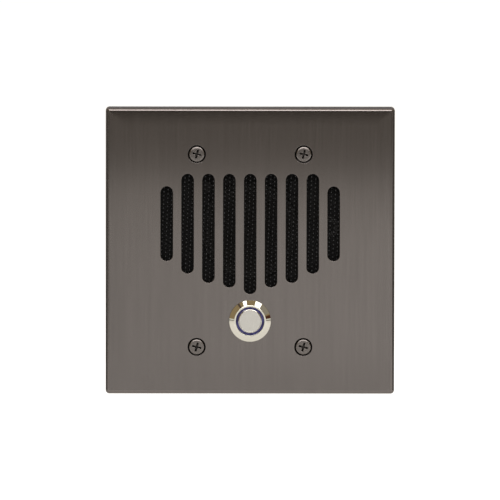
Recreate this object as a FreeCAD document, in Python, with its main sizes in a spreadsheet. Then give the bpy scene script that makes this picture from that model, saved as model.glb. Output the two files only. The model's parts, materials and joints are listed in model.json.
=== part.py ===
import FreeCAD, Part
import math
import os
import Sketcher
from types import SimpleNamespace

# A flush door station: a square metal plate on a two-gang wall box, with a loudspeaker and a
# microphone behind nine sound slots and one lit push button below them.
# X points right, Y into the wall and Z up. The wall's surface is y = 0, and the origin is the
# centre of the four wall-box screws. Lengths are in millimetres.

doc = FreeCAD.newDocument("DoorStation")
sheet = doc.addObject("Spreadsheet::Sheet", "Sizes")

driving_sizes = {
    # faceplate
    "plate_width": 124.6,
    "plate_height": 124.0,
    "plate_depth": 6.0,
    "plate_sheet": 1.2,
    "plate_corner_radius": 1.6,
    "plate_edge_radius": 1.4,
    # sound slots
    "slot_width": 5.3,
    "slot_pitch": 9.0,
    "slot_top": 33.2,
    "slot_outer_drop": 5.4,
    "slot_bottom_middle": 18.8,
    "slot_bottom_second": 15.9,
    "slot_bottom_third": 13.9,
    "slot_bottom_fourth": 9.9,
    "slot_bottom_outer": 4.5,
    # wall-box screws
    "screw_spacing_x": 46.04,
    "screw_spacing_z": 83.34,
    "screw_hole_radius": 2.0,
    "countersink_radius": 3.85,
    "countersink_depth": 2.12,
    "dimple_height": 1.6,
    "dimple_wall": 1.6,
    "screw_head_gap": 0.045,
    "screw_head_rise": 0.95,
    "screw_seat_drop": 0.52,
    "screw_neck_radius": 1.45,
    "screw_neck_clearance": 0.6,
    "screw_shank_radius": 1.75,
    "screw_reach": 20.0,
    "screw_tip_chamfer": 0.4,
    "recess_span": 4.0,
    "recess_width": 0.8,
    "recess_depth": 1.4,
    "recess_turn": 15.0,
    # wall gasket
    "wall_gasket_gap": 0.2,
    "wall_gasket_width": 10.6,
    # mesh, baffle gasket and baffle
    "mesh_thickness": 0.6,
    "mesh_bar": 0.8,
    "mesh_rows": 8,
    "cavity_side_margin": 0.75,
    "cavity_top_margin": 0.8,
    "cavity_bottom_margin": 0.6,
    "baffle_depth": 6.0,
    "baffle_floor": 2.0,
    "baffle_gasket_thickness": 1.2,
    "cavity_side_wall": 3.1,
    "cavity_top_wall": 1.6,
    "cavity_bottom_wall": 0.9,
    "stud_pad_width": 9.7,
    "stud_pad_height": 7.2,
    # studs, standoffs and board screws
    "stud_side_inset": 6.5,
    "stud_top_inset": 3.4,
    "stud_bottom_inset": 4.5,
    "stud_radius": 1.5,
    "stud_weld_width": 0.6,
    "stud_grip": 6.0,
    "stud_tip_gap": 3.1,
    "stud_hole_gap": 0.2,
    "weld_hole_gap": 0.3,
    "thread_gap": 0.05,
    "washer_radius": 3.0,
    "washer_thickness": 0.5,
    "standoff_flats": 5.5,
    "standoff_length": 15.5,
    "pan_head_radius": 2.8,
    "pan_head_height": 2.0,
    # loudspeaker
    "speaker_radius": 25.0,
    "speaker_z": 8.0,
    "speaker_seat_width": 3.0,
    "speaker_gasket_thickness": 0.8,
    "surround_thickness": 0.3,
    "surround_edge_width": 3.4,
    "surround_roll_width": 2.7,
    "surround_roll_radius": 1.5,
    "surround_lip_width": 1.1,
    "basket_thickness": 0.8,
    "basket_flange_width": 2.8,
    "basket_taper": 4.6,
    "basket_waist_depth": 8.5,
    "basket_ledge_width": 2.4,
    "basket_cup_depth": 2.4,
    "window_width": 19.0,
    "window_start": 2.2,
    "window_ledge_gap": 0.2,
    "cone_depth": 6.5,
    "cone_thickness": 0.4,
    "cone_neck_length": 0.5,
    "cone_edge_width": 1.0,
    "top_plate_width": 7.4,
    "former_thickness": 0.15,
    "former_length": 6.8,
    "coil_thickness": 0.45,
    "coil_length": 2.8,
    "spider_thickness": 0.4,
    "spider_edge_gap": 0.2,
    "spider_wave": 0.4,
    "dust_cap_overhang": 0.5,
    "dust_cap_rise": 1.65,
    "dust_cap_thickness": 0.3,
    "dust_cap_seat": 0.45,
    "top_plate_gap": 0.35,
    "top_plate_thickness": 2.0,
    "pole_gap": 0.25,
    "magnet_overhang": 0.8,
    "magnet_ring_width": 6.0,
    "magnet_thickness": 6.0,
    "yoke_thickness": 2.2,
    "speaker_boss_radius": 1.85,
    "speaker_boss_gap": 0.15,
    "speaker_boss_foot": 0.75,
    "speaker_boss_front_height": 2.5,
    "speaker_screw_radius": 1.05,
    "speaker_screw_length": 5.2,
    "speaker_screw_head_overlap": 1.0,
    "speaker_screw_head_height": 1.7,
    "tag_board_length": 7.2,
    "tag_board_width": 12.0,
    "tag_board_thickness": 1.2,
    "tag_thickness": 0.4,
    "tag_width": 2.2,
    "tag_length": 6.0,
    "tag_overhang": 2.0,
    "tag_offset": 3.2,
    # microphone
    "microphone_side_gap": 0.6,
    "microphone_z": 10.0,
    "microphone_radius": 2.95,
    "microphone_length": 4.9,
    "boot_fit": 0.05,
    "boot_wall": 0.8,
    "boot_lip_width": 0.6,
    "boot_lip": 1.2,
    "boot_rear_lip": 1.8,
    "boot_mouth_lip": 1.0,
    "boot_mouth_depth": 0.5,
    # push button
    "button_drop": 30.35,
    "button_flange_width": 1.0,
    "button_flange_height": 2.0,
    "button_rim_height": 0.7,
    "button_lip_width": 0.7,
    "button_lip_chamfer": 0.1,
    "button_barrel_radius": 8.0,
    "button_barrel_wall": 1.0,
    "button_shoulder_depth": 3.4,
    "button_hole_gap": 0.15,
    "button_gasket_thickness": 0.4,
    "button_gasket_inset": 0.2,
    "lock_washer_width": 1.75,
    "lock_washer_thickness": 0.8,
    "lock_nut_flats": 19.0,
    "lock_nut_thickness": 2.4,
    "light_ring_gap": 0.05,
    "light_ring_recess": 0.3,
    "light_ring_wall": 0.85,
    "light_ring_foot_gap": 0.1,
    "light_ring_foot": 1.0,
    "cap_radius": 5.15,
    "cap_fit": 0.07,
    "cap_recess": 0.1,
    "cap_chamfer": 0.3,
    "cap_crown": 0.7,
    "cap_skirt": 2.7,
    "cap_wall": 0.45,
    "plunger_fit": 0.05,
    "plunger_flange_gap": 0.2,
    "plunger_flange": 1.0,
    "plunger_stem_radius": 2.0,
    "plunger_stem_fit": 0.08,
    "plunger_stem_overrun": 1.0,
    "plunger_tip_radius": 0.85,
    "plunger_tip_length": 0.6,
    "led_height": 0.6,
    "led_width": 0.8,
    "led_board_thickness": 0.6,
    "led_board_margin": 0.05,
    "led_pin_radius": 0.3,
    "spring_seat_wall": 1.0,
    "spring_seat_thickness": 1.5,
    "spring_space": 4.0,
    "spring_stem_gap": 1.2,
    "spring_wire_radius": 0.25,
    "spring_turns": 4.0,
    "switch_chamber_wall": 1.5,
    "switch_floor": 2.0,
    "switch_flange_inset": 0.1,
    "switch_flange": 1.4,
    "switch_tail_inset": 2.0,
    "switch_tail": 0.8,
    "button_travel": 2.0,
    "contact_gap": 0.05,
    "contact_x": 3.2,
    "contact_bridge_overhang": 1.0,
    "contact_bridge_width": 2.0,
    "contact_bridge_thickness": 0.4,
    "contact_head_radius": 0.9,
    "contact_head_height": 1.05,
    "contact_pin_radius": 0.5,
    "pin_hole_gap": 0.05,
    "button_pin_length": 5.8,
    # circuit board and what it carries
    "board_side_inset": 0.5,
    "board_edge_inset": 0.4,
    "board_thickness": 1.6,
    "board_hole_gap": 1.5,
    "lead_hole_gap": 0.15,
    "lead_radius": 0.3,
    "lead_tail": 1.4,
    "terminal_pitch": 5.08,
    "terminal_ways": 4,
    "terminal_z": 30.5,
    "terminal_depth": 8.0,
    "terminal_height": 10.0,
    "terminal_wall": 0.54,
    "terminal_floor": 2.0,
    "terminal_chamber_height": 4.8,
    "terminal_web": 0.8,
    "terminal_well_radius": 2.0,
    "terminal_web_hole_gap": 0.15,
    "clamp_side_gap": 0.15,
    "clamp_front_gap": 0.4,
    "clamp_rear_gap": 0.2,
    "clamp_depth": 3.8,
    "clamp_side_wall": 0.65,
    "clamp_floor": 0.8,
    "clamp_roof": 1.3,
    "terminal_screw_radius": 1.25,
    "terminal_screw_head_gap": 0.1,
    "terminal_screw_head_height": 1.4,
    "terminal_pin_width": 0.8,
    "chip_x": 31.0,
    "chip_z": 5.0,
    "chip_width": 6.4,
    "chip_length": 9.4,
    "chip_height": 3.3,
    "chip_standoff": 0.5,
    "chip_pitch": 2.54,
    "chip_leg_spread": 0.61,
    "chip_leg_width": 0.5,
    "chip_leg_thickness": 0.26,
    "can_radius": 4.0,
    "can_height": 11.0,
    "can_groove": 0.35,
    "can_groove_start": 1.05,
    "can_right_x": 31.0,
    "can_upper_z": 19.5,
    "can_lower_z": 10.5,
    "can_left_x": 31.5,
    "can_left_z": 25.0,
    "can_inner_x": 21.3,
    "can_inner_z": 27.5,
    "can_lead_spacing": 3.5,
    "resistor_x": 30.0,
    "resistor_z": 9.6,
    "resistor_pitch": 3.4,
    "resistor_radius": 1.15,
    "resistor_length": 6.2,
    "resistor_lead_spacing": 10.16,
    "resistor_clearance": 0.3,
    "trimmer_x": 33.0,
    "trimmer_z": 13.5,
    "trimmer_width": 9.6,
    "trimmer_height": 4.8,
    "rotor_radius": 3.2,
    "rotor_fit": 0.08,
    "rotor_height": 1.0,
    "rotor_recess": 1.2,
    "rotor_slot_width": 0.8,
    "rotor_slot_depth": 0.5,
    "rotor_slot_length": 5.2,
    # wires
    "lead_wire_radius": 0.5,
    "thin_wire_radius": 0.4,
    "tinsel_radius": 0.25,
    "pad_row_inset": 4.4,
    "contact_pad_x": 8.0,
    "contact_lead_rise": 7.0,
    "led_pad_x": 3.0,
    "upper_led_lead_rise": 5.0,
    "lower_led_lead_rise": 9.5,
    "speaker_lead_run": 6.5,
    "microphone_lead_run": 4.6,
    "microphone_lead_shift": 4.0,
    "microphone_lead_spread": 1.3,
    "tinsel_level": 4.9,
    "tinsel_inward": 6.2,
    "tinsel_dip": 1.2,
    "tinsel_tail": 2.4,
}

for row, (alias, value) in enumerate(driving_sizes.items(), start=1):
    sheet.set(f"A{row}", alias)
    sheet.set(f"B{row}", str(value))
    sheet.setAlias(f"B{row}", alias)
doc.recompute()


class Size:
    """A number together with the spreadsheet expression that gives it."""

    def __init__(self, value, text):
        self.value = value
        self.text = text

    def join(self, sign, other, value):
        return Size(value, f"({self.text} {sign} {other.text})")

    def __add__(self, other):
        other = sized(other)
        return self.join("+", other, self.value + other.value)

    def __sub__(self, other):
        other = sized(other)
        return self.join("-", other, self.value - other.value)

    def __mul__(self, other):
        other = sized(other)
        return self.join("*", other, self.value * other.value)

    def __truediv__(self, other):
        other = sized(other)
        return self.join("/", other, self.value / other.value)

    def __neg__(self):
        return sized(0) - self

    def __radd__(self, other):
        return sized(other) + self

    def __rsub__(self, other):
        return sized(other) - self

    def __rmul__(self, other):
        return sized(other) * self


def sized(item):
    return item if isinstance(item, Size) else Size(float(item), f"{float(item):.9f}")


s = SimpleNamespace(**{
    alias: Size(float(value), f"Sizes.{alias}") for alias, value in driving_sizes.items()
})
diagonal = math.sqrt(0.5)
hexagon_reach = 1 / math.sqrt(3)      # a hexagon's corner radius over the distance across its flats
quarter_turn = FreeCAD.Rotation(FreeCAD.Vector(1, 0, 0), -90)   # turns a Z axis to +Y


# Small tools that make bound objects.

def bind(item, sizes):
    for name, size in sizes.items():
        item.setExpression(name, sized(size).text)


def place(item, x=0, y=0, z=0):
    bind(item, {"Placement.Base.x": x, "Placement.Base.y": y, "Placement.Base.z": z})
    return item


def new_sketch(body, role, offset=0):
    sketch = body.newObject("Sketcher::SketchObject", "Sketch")
    plane = next(feature for feature in body.Origin.OriginFeatures if feature.Role == role)
    sketch.AttachmentSupport = (plane, [""])
    sketch.MapMode = "FlatFace"
    bind(sketch, {"AttachmentOffset.Base.z": offset})
    return sketch


def constrain(sketch, kind, size, *where):
    number = sketch.addConstraint(Sketcher.Constraint(kind, *where, size.value))
    sketch.setExpression(f"Constraints[{number}]", size.text)


def locate(sketch, element, point, u, v):
    constrain(sketch, "DistanceX", sized(u), -1, 1, element, point)
    constrain(sketch, "DistanceY", sized(v), -1, 1, element, point)


def arc_between(start, end, radius, side):
    """The arc from start to end whose centre lies on the left (side 1) or the right (side -1)."""
    chord = end - start
    left = FreeCAD.Vector(-chord.y, chord.x, 0).normalize()
    rise = math.sqrt(radius ** 2 - (chord.Length / 2) ** 2)
    centre = (start + end) * 0.5 + left * (side * rise)
    angles = [math.atan2(point.y - centre.y, point.x - centre.x) for point in (start, end)]
    if side < 0:
        angles.reverse()
    return Part.ArcOfCircle(Part.Circle(centre, FreeCAD.Vector(0, 0, 1), radius), *angles)


def outline(sketch, corners):
    """A closed outline. A corner is (u, v), or (u, v, radius, side) where an arc leaves it."""
    points = [FreeCAD.Vector(sized(corner[0]).value, sized(corner[1]).value, 0) for corner in corners]
    elements = []
    for number, corner in enumerate(corners):
        start, end = points[number], points[(number + 1) % len(points)]
        if len(corner) == 2:
            elements.append((sketch.addGeometry(Part.LineSegment(start, end)), 1, 2))
            continue
        radius, side = corner[2:]
        element = sketch.addGeometry(arc_between(start, end, radius.value, side))
        elements.append((element, 1, 2) if side > 0 else (element, 2, 1))
        constrain(sketch, "Radius", radius, element)
    for number, (element, first, last) in enumerate(elements):
        following, following_first, _ = elements[(number + 1) % len(elements)]
        sketch.addConstraint(Sketcher.Constraint("Coincident", element, last, following, following_first))
        locate(sketch, element, first, *corners[number][:2])


def rectangle(sketch, left, low, right, high):
    outline(sketch, [(left, low), (right, low), (right, high), (left, high)])


def circle(sketch, u, v, radius):
    radius = sized(radius)
    centre = FreeCAD.Vector(sized(u).value, sized(v).value, 0)
    element = sketch.addGeometry(Part.Circle(centre, FreeCAD.Vector(0, 0, 1), radius.value))
    locate(sketch, element, 3, u, v)
    constrain(sketch, "Radius", radius, element)


def slot(sketch, u, low, high, width):
    """An upright slot with full-round ends."""
    radius = width / 2
    top = FreeCAD.Vector(u.value, (high - radius).value, 0)
    bottom = FreeCAD.Vector(u.value, (low + radius).value, 0)
    across = FreeCAD.Vector(radius.value, 0, 0)
    normal = FreeCAD.Vector(0, 0, 1)
    upper_circle, lower_circle = (Part.Circle(end, normal, radius.value) for end in (top, bottom))
    upper = sketch.addGeometry(Part.ArcOfCircle(upper_circle, 0, math.pi))
    left = sketch.addGeometry(Part.LineSegment(top - across, bottom - across))
    lower = sketch.addGeometry(Part.ArcOfCircle(lower_circle, math.pi, 2 * math.pi))
    right = sketch.addGeometry(Part.LineSegment(bottom + across, top + across))
    for one, other in ((upper, left), (left, lower), (lower, right), (right, upper)):
        sketch.addConstraint(Sketcher.Constraint("Tangent", one, 2, other, 1))
    sketch.addConstraint(Sketcher.Constraint("Equal", upper, lower))
    locate(sketch, upper, 3, u, high - radius)
    locate(sketch, lower, 3, u, low + radius)
    constrain(sketch, "Radius", radius, upper)


def new_body(label, x=0, y=0, z=0):
    body = doc.addObject("PartDesign::Body", "Body")
    body.Label = label
    return place(body, x, y, z)


def pad(body, sketch, length):
    """Adds material from the sketch towards +Y."""
    feature = body.newObject("PartDesign::Pad", "Pad")
    feature.Profile = sketch
    feature.Reversed = True
    bind(feature, {"Length": length})
    return feature


def pocket(body, sketch, length):
    """Cuts from the sketch towards +Y."""
    feature = body.newObject("PartDesign::Pocket", "Pocket")
    feature.Profile = sketch
    bind(feature, {"Length": length})
    return feature


def slab(label, start, thickness, draw):
    """A flat piece from y = start: draw puts its outlines on the sketch."""
    body = new_body(label)
    sketch = new_sketch(body, "XZ_Plane", -sized(start))
    draw(sketch)
    pad(body, sketch, thickness)
    return body


def turned(label, profile, x=0, z=0):
    """A piece turned about an axis along Y. The profile's corners are (radius, y)."""
    body = new_body(label, x=x, z=z)
    sketch = new_sketch(body, "XY_Plane")
    outline(sketch, profile)
    feature = body.newObject("PartDesign::Revolution", "Revolution")
    feature.Profile = sketch
    feature.ReferenceAxis = (sketch, ["V_Axis"])
    feature.Angle = 360
    return body


def ring(label, inner, outer, start, end, x=0, z=0):
    return turned(label, [(inner, start), (outer, start), (outer, end), (inner, end)], x, z)


def block(left, front, low, width, depth, height):
    box = doc.addObject("Part::Box", "Block")
    bind(box, {"Length": width, "Width": depth, "Height": height})
    return place(box, left, front, low)


def rod(x, start, z, radius, length):
    """A plain cylinder along +Y."""
    cylinder = doc.addObject("Part::Cylinder", "Rod")
    cylinder.Placement = FreeCAD.Placement(FreeCAD.Vector(), quarter_turn)
    bind(cylinder, {"Radius": radius, "Height": length})
    return place(cylinder, x, start, z)


def hexagon(x, start, z, flats, length):
    prism = doc.addObject("Part::Prism", "Hexagon")
    prism.Polygon = 6
    prism.Placement = FreeCAD.Placement(FreeCAD.Vector(), quarter_turn)
    bind(prism, {"Circumradius": flats * hexagon_reach, "Height": length})
    return place(prism, x, start, z)


def joined(label, pieces):
    fuse = doc.addObject("Part::MultiFuse", "Joined")
    fuse.Label = label
    fuse.Shapes = pieces
    return fuse


def cut(label, base, tools):
    """The base less its tools, which are left out of each other's way."""
    result = doc.addObject("Part::Cut", "Cut")
    result.Label = label
    result.Base = base
    result.Tool = tools[0] if len(tools) == 1 else joined(f"{label} tools", tools)
    return result


def group(label, pieces):
    """Several separate solids that share one node."""
    compound = doc.addObject("Part::Compound", "Group")
    compound.Label = label
    compound.Links = pieces
    return compound


def cross_recess(x, start, z, turn):
    """Two crossed bars that cut a screw's drive recess, from y = start."""
    bars = []
    for width, height in ((s.recess_span, s.recess_width), (s.recess_width, s.recess_span)):
        bar = doc.addObject("Part::Box", "Bar")
        bind(bar, {"Length": width, "Width": s.recess_depth, "Height": height})
        place(bar, -width / 2, 0, -height / 2)
        bars.append(bar)
    cross = joined("cross", bars)
    cross.Placement = FreeCAD.Placement(FreeCAD.Vector(), FreeCAD.Rotation(FreeCAD.Vector(0, 1, 0), turn))
    return place(cross, x, start, z)


def bent_wire(label, points, radius, share=0.45):
    """A round wire of straight runs and tangent arcs, which take this share of the shorter run."""
    points = [FreeCAD.Vector(*(sized(value).value for value in point)) for point in points]
    edges = []
    start = points[0]
    radii = []
    for before, corner, after in zip(points, points[1:], points[2:]):
        inward = (before - corner).normalize()
        outward = (after - corner).normalize()
        turn = math.pi - inward.getAngle(outward)
        shorter = min((before - corner).Length, (after - corner).Length)
        setback = share * shorter
        radii.append(setback / math.tan(turn / 2))
        entry, leave = corner + inward * setback, corner + outward * setback
        bisector = (inward + outward).normalize()
        middle = corner + bisector * (radii[-1] / math.cos(turn / 2) - radii[-1])
        edges.append(Part.LineSegment(start, entry).toShape())
        edges.append(Part.Arc(entry, middle, leave).toShape())
        start = leave
    edges.append(Part.LineSegment(start, points[-1]).toShape())
    path = Part.Wire(edges)
    section = Part.Wire(Part.makeCircle(radius.value, points[0], points[1] - points[0]))
    wire = doc.addObject("Part::Feature", "Wire")
    wire.Label = label
    wire.Shape = path.makePipeShell([section], True, False)
    expected = math.pi * radius.value ** 2 * path.Length
    print(f"{label}: length {path.Length:.1f}, radii {[round(value, 2) for value in radii]},"
          f" volume over section times length {wire.Shape.Volume / expected:.4f}")
    return wire


def four_corners(x, low, high):
    return [(x, high), (-x, high), (-x, low), (x, low)]


# Where things lie along Y, from the front to the back.
front = -s.plate_depth
back = front + s.plate_sheet
dimple_back = back + s.dimple_height
mesh_back = back + s.mesh_thickness
baffle_front = mesh_back + s.baffle_gasket_thickness
baffle_back = baffle_front + s.baffle_depth
floor_front = baffle_back - s.baffle_floor
standoff_start = baffle_back + s.washer_thickness
board_front = standoff_start + s.standoff_length
board_back = board_front + s.board_thickness
lead_end = board_front - s.lead_tail

# Where things lie across the plate.
box_screws = four_corners(s.screw_spacing_x / 2, -s.screw_spacing_z / 2, s.screw_spacing_z / 2)
cavity_side = s.slot_pitch * 4 + s.slot_width / 2 + s.cavity_side_margin
cavity_top = s.slot_top + s.cavity_top_margin
cavity_bottom = -(s.slot_bottom_middle + s.cavity_bottom_margin)
baffle_side = cavity_side + s.cavity_side_wall
baffle_top = cavity_top + s.cavity_top_wall
baffle_bottom = cavity_bottom - s.cavity_bottom_wall
studs = four_corners(
    baffle_side - s.stud_side_inset, baffle_bottom + s.stud_bottom_inset, baffle_top - s.stud_top_inset)
stud_hole = s.stud_radius + s.stud_hole_gap
stud_weld = s.stud_radius + s.stud_weld_width
button_z = -s.button_drop

nodes = []


def keep(node):
    nodes.append(node)
    return node


# The faceplate is a pan pressed from sheet, with a rim that meets the wall.

def edges_where(shape, test):
    return [f"Edge{number}" for number, edge in enumerate(shape.Edges, start=1) if test(edge)]


def fillet(body, base, edges, radius):
    feature = body.newObject("PartDesign::Fillet", "Fillet")
    feature.Base = (base, edges)
    bind(feature, {"Radius": radius})
    doc.recompute()
    return feature


def make_faceplate():
    body = new_body("faceplate")
    half_width, half_height = s.plate_width / 2, s.plate_height / 2
    sketch = new_sketch(body, "XZ_Plane", -front)
    rectangle(sketch, -half_width, -half_height, half_width, half_height)
    plate = pad(body, sketch, -front)
    doc.recompute()
    corners = edges_where(plate.Shape, lambda edge: edge.BoundBox.YLength > s.plate_depth.value / 2)
    rounded = fillet(body, plate, corners, s.plate_corner_radius)
    rim = edges_where(rounded.Shape, lambda edge: edge.BoundBox.YMax < front.value / 2)
    fillet(body, rounded, rim, s.plate_edge_radius)

    hollow = new_sketch(body, "XZ_Plane", -back)
    inner_width, inner_height = half_width - s.plate_sheet, half_height - s.plate_sheet
    rectangle(hollow, -inner_width, -inner_height, inner_width, inner_height)
    pocket(body, hollow, -back)

    bottoms = [
        s.slot_bottom_middle,
        s.slot_bottom_second,
        s.slot_bottom_third,
        s.slot_bottom_fourth,
        s.slot_bottom_outer,
    ]
    openings = new_sketch(body, "XZ_Plane", -front)
    for column in range(-4, 5):
        top = s.slot_top - s.slot_outer_drop if abs(column) == 4 else s.slot_top
        slot(openings, column * s.slot_pitch, -bottoms[abs(column)], top, s.slot_width)
    circle(openings, 0, button_z, s.button_barrel_radius + s.button_hole_gap)
    pocket(body, openings, s.plate_sheet)

    dimple_start = front + s.plate_sheet / 2
    for x, z in box_screws:
        dimple = body.newObject("PartDesign::AdditiveCone", "Dimple")
        dimple.Placement = FreeCAD.Placement(FreeCAD.Vector(), quarter_turn)
        bind(dimple, {
            "Radius1": s.countersink_radius + s.dimple_wall,
            "Radius2": s.screw_hole_radius + s.dimple_wall,
            "Height": dimple_back - dimple_start,
        })
        place(dimple, x, dimple_start, z)
    for x, z in box_screws:
        sink = body.newObject("PartDesign::SubtractiveCone", "Countersink")
        sink.Placement = FreeCAD.Placement(FreeCAD.Vector(), quarter_turn)
        bind(sink, {
            "Radius1": s.countersink_radius,
            "Radius2": s.screw_hole_radius,
            "Height": s.countersink_depth,
        })
        place(sink, x, front, z)
    holes = new_sketch(body, "XZ_Plane", -front)
    for x, z in box_screws:
        circle(holes, x, z, s.screw_hole_radius)
    pocket(body, holes, dimple_back - front)
    return body


def make_faceplate_screw(x, z):
    slope = (s.countersink_radius - s.screw_hole_radius) / s.countersink_depth
    seat = front + s.screw_seat_drop
    head = s.countersink_radius - slope * s.screw_seat_drop - s.screw_head_gap
    rise = s.screw_head_rise
    shank, tip = s.screw_shank_radius, s.screw_tip_chamfer
    neck_end = dimple_back + s.screw_neck_clearance
    screw = turned("faceplate screw", [
        (0, seat - rise, (head * head + rise * rise) / (rise * 2), 1),
        (head, seat),
        (s.screw_neck_radius, seat + (head - s.screw_neck_radius) / slope),
        (s.screw_neck_radius, neck_end),
        (shank, neck_end),
        (shank, s.screw_reach - tip),
        (shank - tip, s.screw_reach),
        (0, s.screw_reach),
    ], x, z)
    recess = cross_recess(x, seat - rise, z, s.recess_turn.value)
    return cut("faceplate screw with recess", screw, [recess])


def make_wall_gasket():
    outer_x = s.plate_width / 2 - s.plate_sheet - s.wall_gasket_gap
    outer_z = s.plate_height / 2 - s.plate_sheet - s.wall_gasket_gap
    inner_x, inner_z = outer_x - s.wall_gasket_width, outer_z - s.wall_gasket_width

    def draw(sketch):
        rectangle(sketch, -outer_x, -outer_z, outer_x, outer_z)
        rectangle(sketch, -inner_x, -inner_z, inner_x, inner_z)

    return slab("wall_gasket", back, -back, draw)


keep(make_faceplate())
keep(group("faceplate_screws", [make_faceplate_screw(x, z) for x, z in box_screws]))
keep(make_wall_gasket())


# Studs on the back of the plate carry the mesh, the baffle and the circuit board.
stud_end = standoff_start + s.stud_grip
board_screw_length = board_back - stud_end - s.stud_tip_gap
surround_front = baffle_back + s.speaker_gasket_thickness
flange_front = surround_front + s.surround_thickness
flange_back = flange_front + s.basket_thickness
speaker_screw_circle = s.speaker_radius + s.speaker_boss_gap + s.speaker_boss_radius
speaker_screw_places = [
    (x, s.speaker_z + z)
    for x, z in four_corners(speaker_screw_circle * diagonal, -speaker_screw_circle * diagonal,
                             speaker_screw_circle * diagonal)
]
boot_neck = s.microphone_radius + s.boot_fit + s.boot_wall
boot_lip = boot_neck + s.boot_lip_width
microphone_x = cavity_side - boot_lip - s.microphone_side_gap


def make_weld_stud(x, z):
    tip = s.screw_tip_chamfer
    return turned("weld stud", [
        (0, back),
        (stud_weld, back),
        (stud_weld, mesh_back),
        (s.stud_radius, mesh_back),
        (s.stud_radius, stud_end - tip),
        (s.stud_radius - tip, stud_end),
        (0, stud_end),
    ], x, z)


def baffle_rectangle(sketch):
    rectangle(sketch, -baffle_side, baffle_bottom, baffle_side, baffle_top)


def cavity_outline(sketch):
    """The space in front of the loudspeaker, with a solid pad left in each corner for a stud."""
    pad_x = baffle_side - s.stud_pad_width
    upper = baffle_top - s.stud_pad_height
    lower = baffle_bottom + s.stud_pad_height
    right = [
        (pad_x, cavity_top),
        (pad_x, upper),
        (cavity_side, upper),
        (cavity_side, lower),
        (pad_x, lower),
        (pad_x, cavity_bottom),
    ]
    outline(sketch, right + [(-u, v) for u, v in reversed(right)])


def make_grille_mesh():
    """The mesh, as a sheet with one grid of openings in place of its many small ones."""
    def draw(sketch):
        baffle_rectangle(sketch)
        for x, z in studs:
            circle(sketch, x, z, stud_weld + s.weld_hole_gap)

    bar = s.mesh_bar
    wide = s.slot_pitch - bar
    outer_wide = cavity_side - bar - (s.slot_pitch * 4 - wide / 2)
    row_pitch = (cavity_top - cavity_bottom - bar) / s.mesh_rows
    high = row_pitch - bar
    lowest, highest = baffle_bottom + s.stud_pad_height, baffle_top - s.stud_pad_height
    openings = []
    for row in range(round(s.mesh_rows.value)):
        low = cavity_bottom + bar + row_pitch * row
        for column in range(-3, 4):
            openings.append(block(column * s.slot_pitch - wide / 2, back, low, wide, s.mesh_thickness, high))
        if low.value > lowest.value and (low + high).value < highest.value:
            for left in (bar - cavity_side, cavity_side - bar - outer_wide):
                openings.append(block(left, back, low, outer_wide, s.mesh_thickness, high))
    return cut("grille_mesh", slab("mesh sheet", back, s.mesh_thickness, draw), openings)


def make_baffle_gasket():
    def draw(sketch):
        baffle_rectangle(sketch)
        cavity_outline(sketch)
        for x, z in studs:
            circle(sketch, x, z, stud_hole)

    return slab("baffle_gasket", mesh_back, s.baffle_gasket_thickness, draw)


def make_speaker_baffle():
    body = new_body("baffle tray")
    sketch = new_sketch(body, "XZ_Plane", -baffle_front)
    baffle_rectangle(sketch)
    pad(body, sketch, s.baffle_depth)
    cavity = new_sketch(body, "XZ_Plane", -baffle_front)
    cavity_outline(cavity)
    pocket(body, cavity, floor_front - baffle_front)
    holes = new_sketch(body, "XZ_Plane", -baffle_front)
    circle(holes, 0, s.speaker_z, s.speaker_radius - s.speaker_seat_width)
    circle(holes, microphone_x, s.microphone_z, boot_neck + s.boot_fit)
    for x, z in studs:
        circle(holes, x, z, stud_hole)
    pocket(body, holes, s.baffle_depth)

    foot_start = floor_front - s.speaker_boss_front_height
    foot_radius = s.speaker_boss_radius + s.speaker_boss_foot
    bore_start = flange_back - s.speaker_screw_length - s.thread_gap
    pieces = [body]
    bores = []
    for x, z in speaker_screw_places:
        pieces.append(rod(x, foot_start, z, foot_radius, s.speaker_boss_front_height))
        pieces.append(rod(x, floor_front, z, s.speaker_boss_radius, flange_back - floor_front))
        bores.append(rod(x, bore_start, z, s.speaker_screw_radius + s.thread_gap, flange_back - bore_start))
    return cut("speaker_baffle", joined("tray with bosses", pieces), bores)


def make_standoff(x, z):
    bar = hexagon(x, standoff_start, z, s.standoff_flats, s.standoff_length)
    bore = rod(x, standoff_start, z, s.stud_radius + s.thread_gap, s.standoff_length)
    return cut("standoff", bar, [bore])


def pan_screw(x, seat, z, shank_radius, length, head_radius, head_height):
    """A pan-head screw whose head stands on y = seat and whose shank points to the front."""
    rounding = head_height / 2
    screw = turned("pan screw", [
        (0, seat + head_height),
        (head_radius - rounding, seat + head_height, rounding, -1),
        (head_radius, seat + head_height - rounding),
        (head_radius, seat),
        (shank_radius, seat),
        (shank_radius, seat - length),
        (0, seat - length),
    ], x, z)
    recess = cross_recess(x, seat + head_height - s.recess_depth, z, 0)
    return cut("pan screw with recess", screw, [recess])


keep(group("weld_studs", [make_weld_stud(x, z) for x, z in studs]))
keep(make_grille_mesh())
keep(make_baffle_gasket())
keep(make_speaker_baffle())
keep(group("stud_washers", [
    ring("stud washer", s.stud_radius + s.thread_gap, s.washer_radius, baffle_back, standoff_start, x, z)
    for x, z in studs
]))
keep(group("board_standoffs", [make_standoff(x, z) for x, z in studs]))
keep(group("board_screws", [
    pan_screw(x, board_back, z, s.stud_radius, board_screw_length, s.pan_head_radius, s.pan_head_height)
    for x, z in studs
]))


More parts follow.
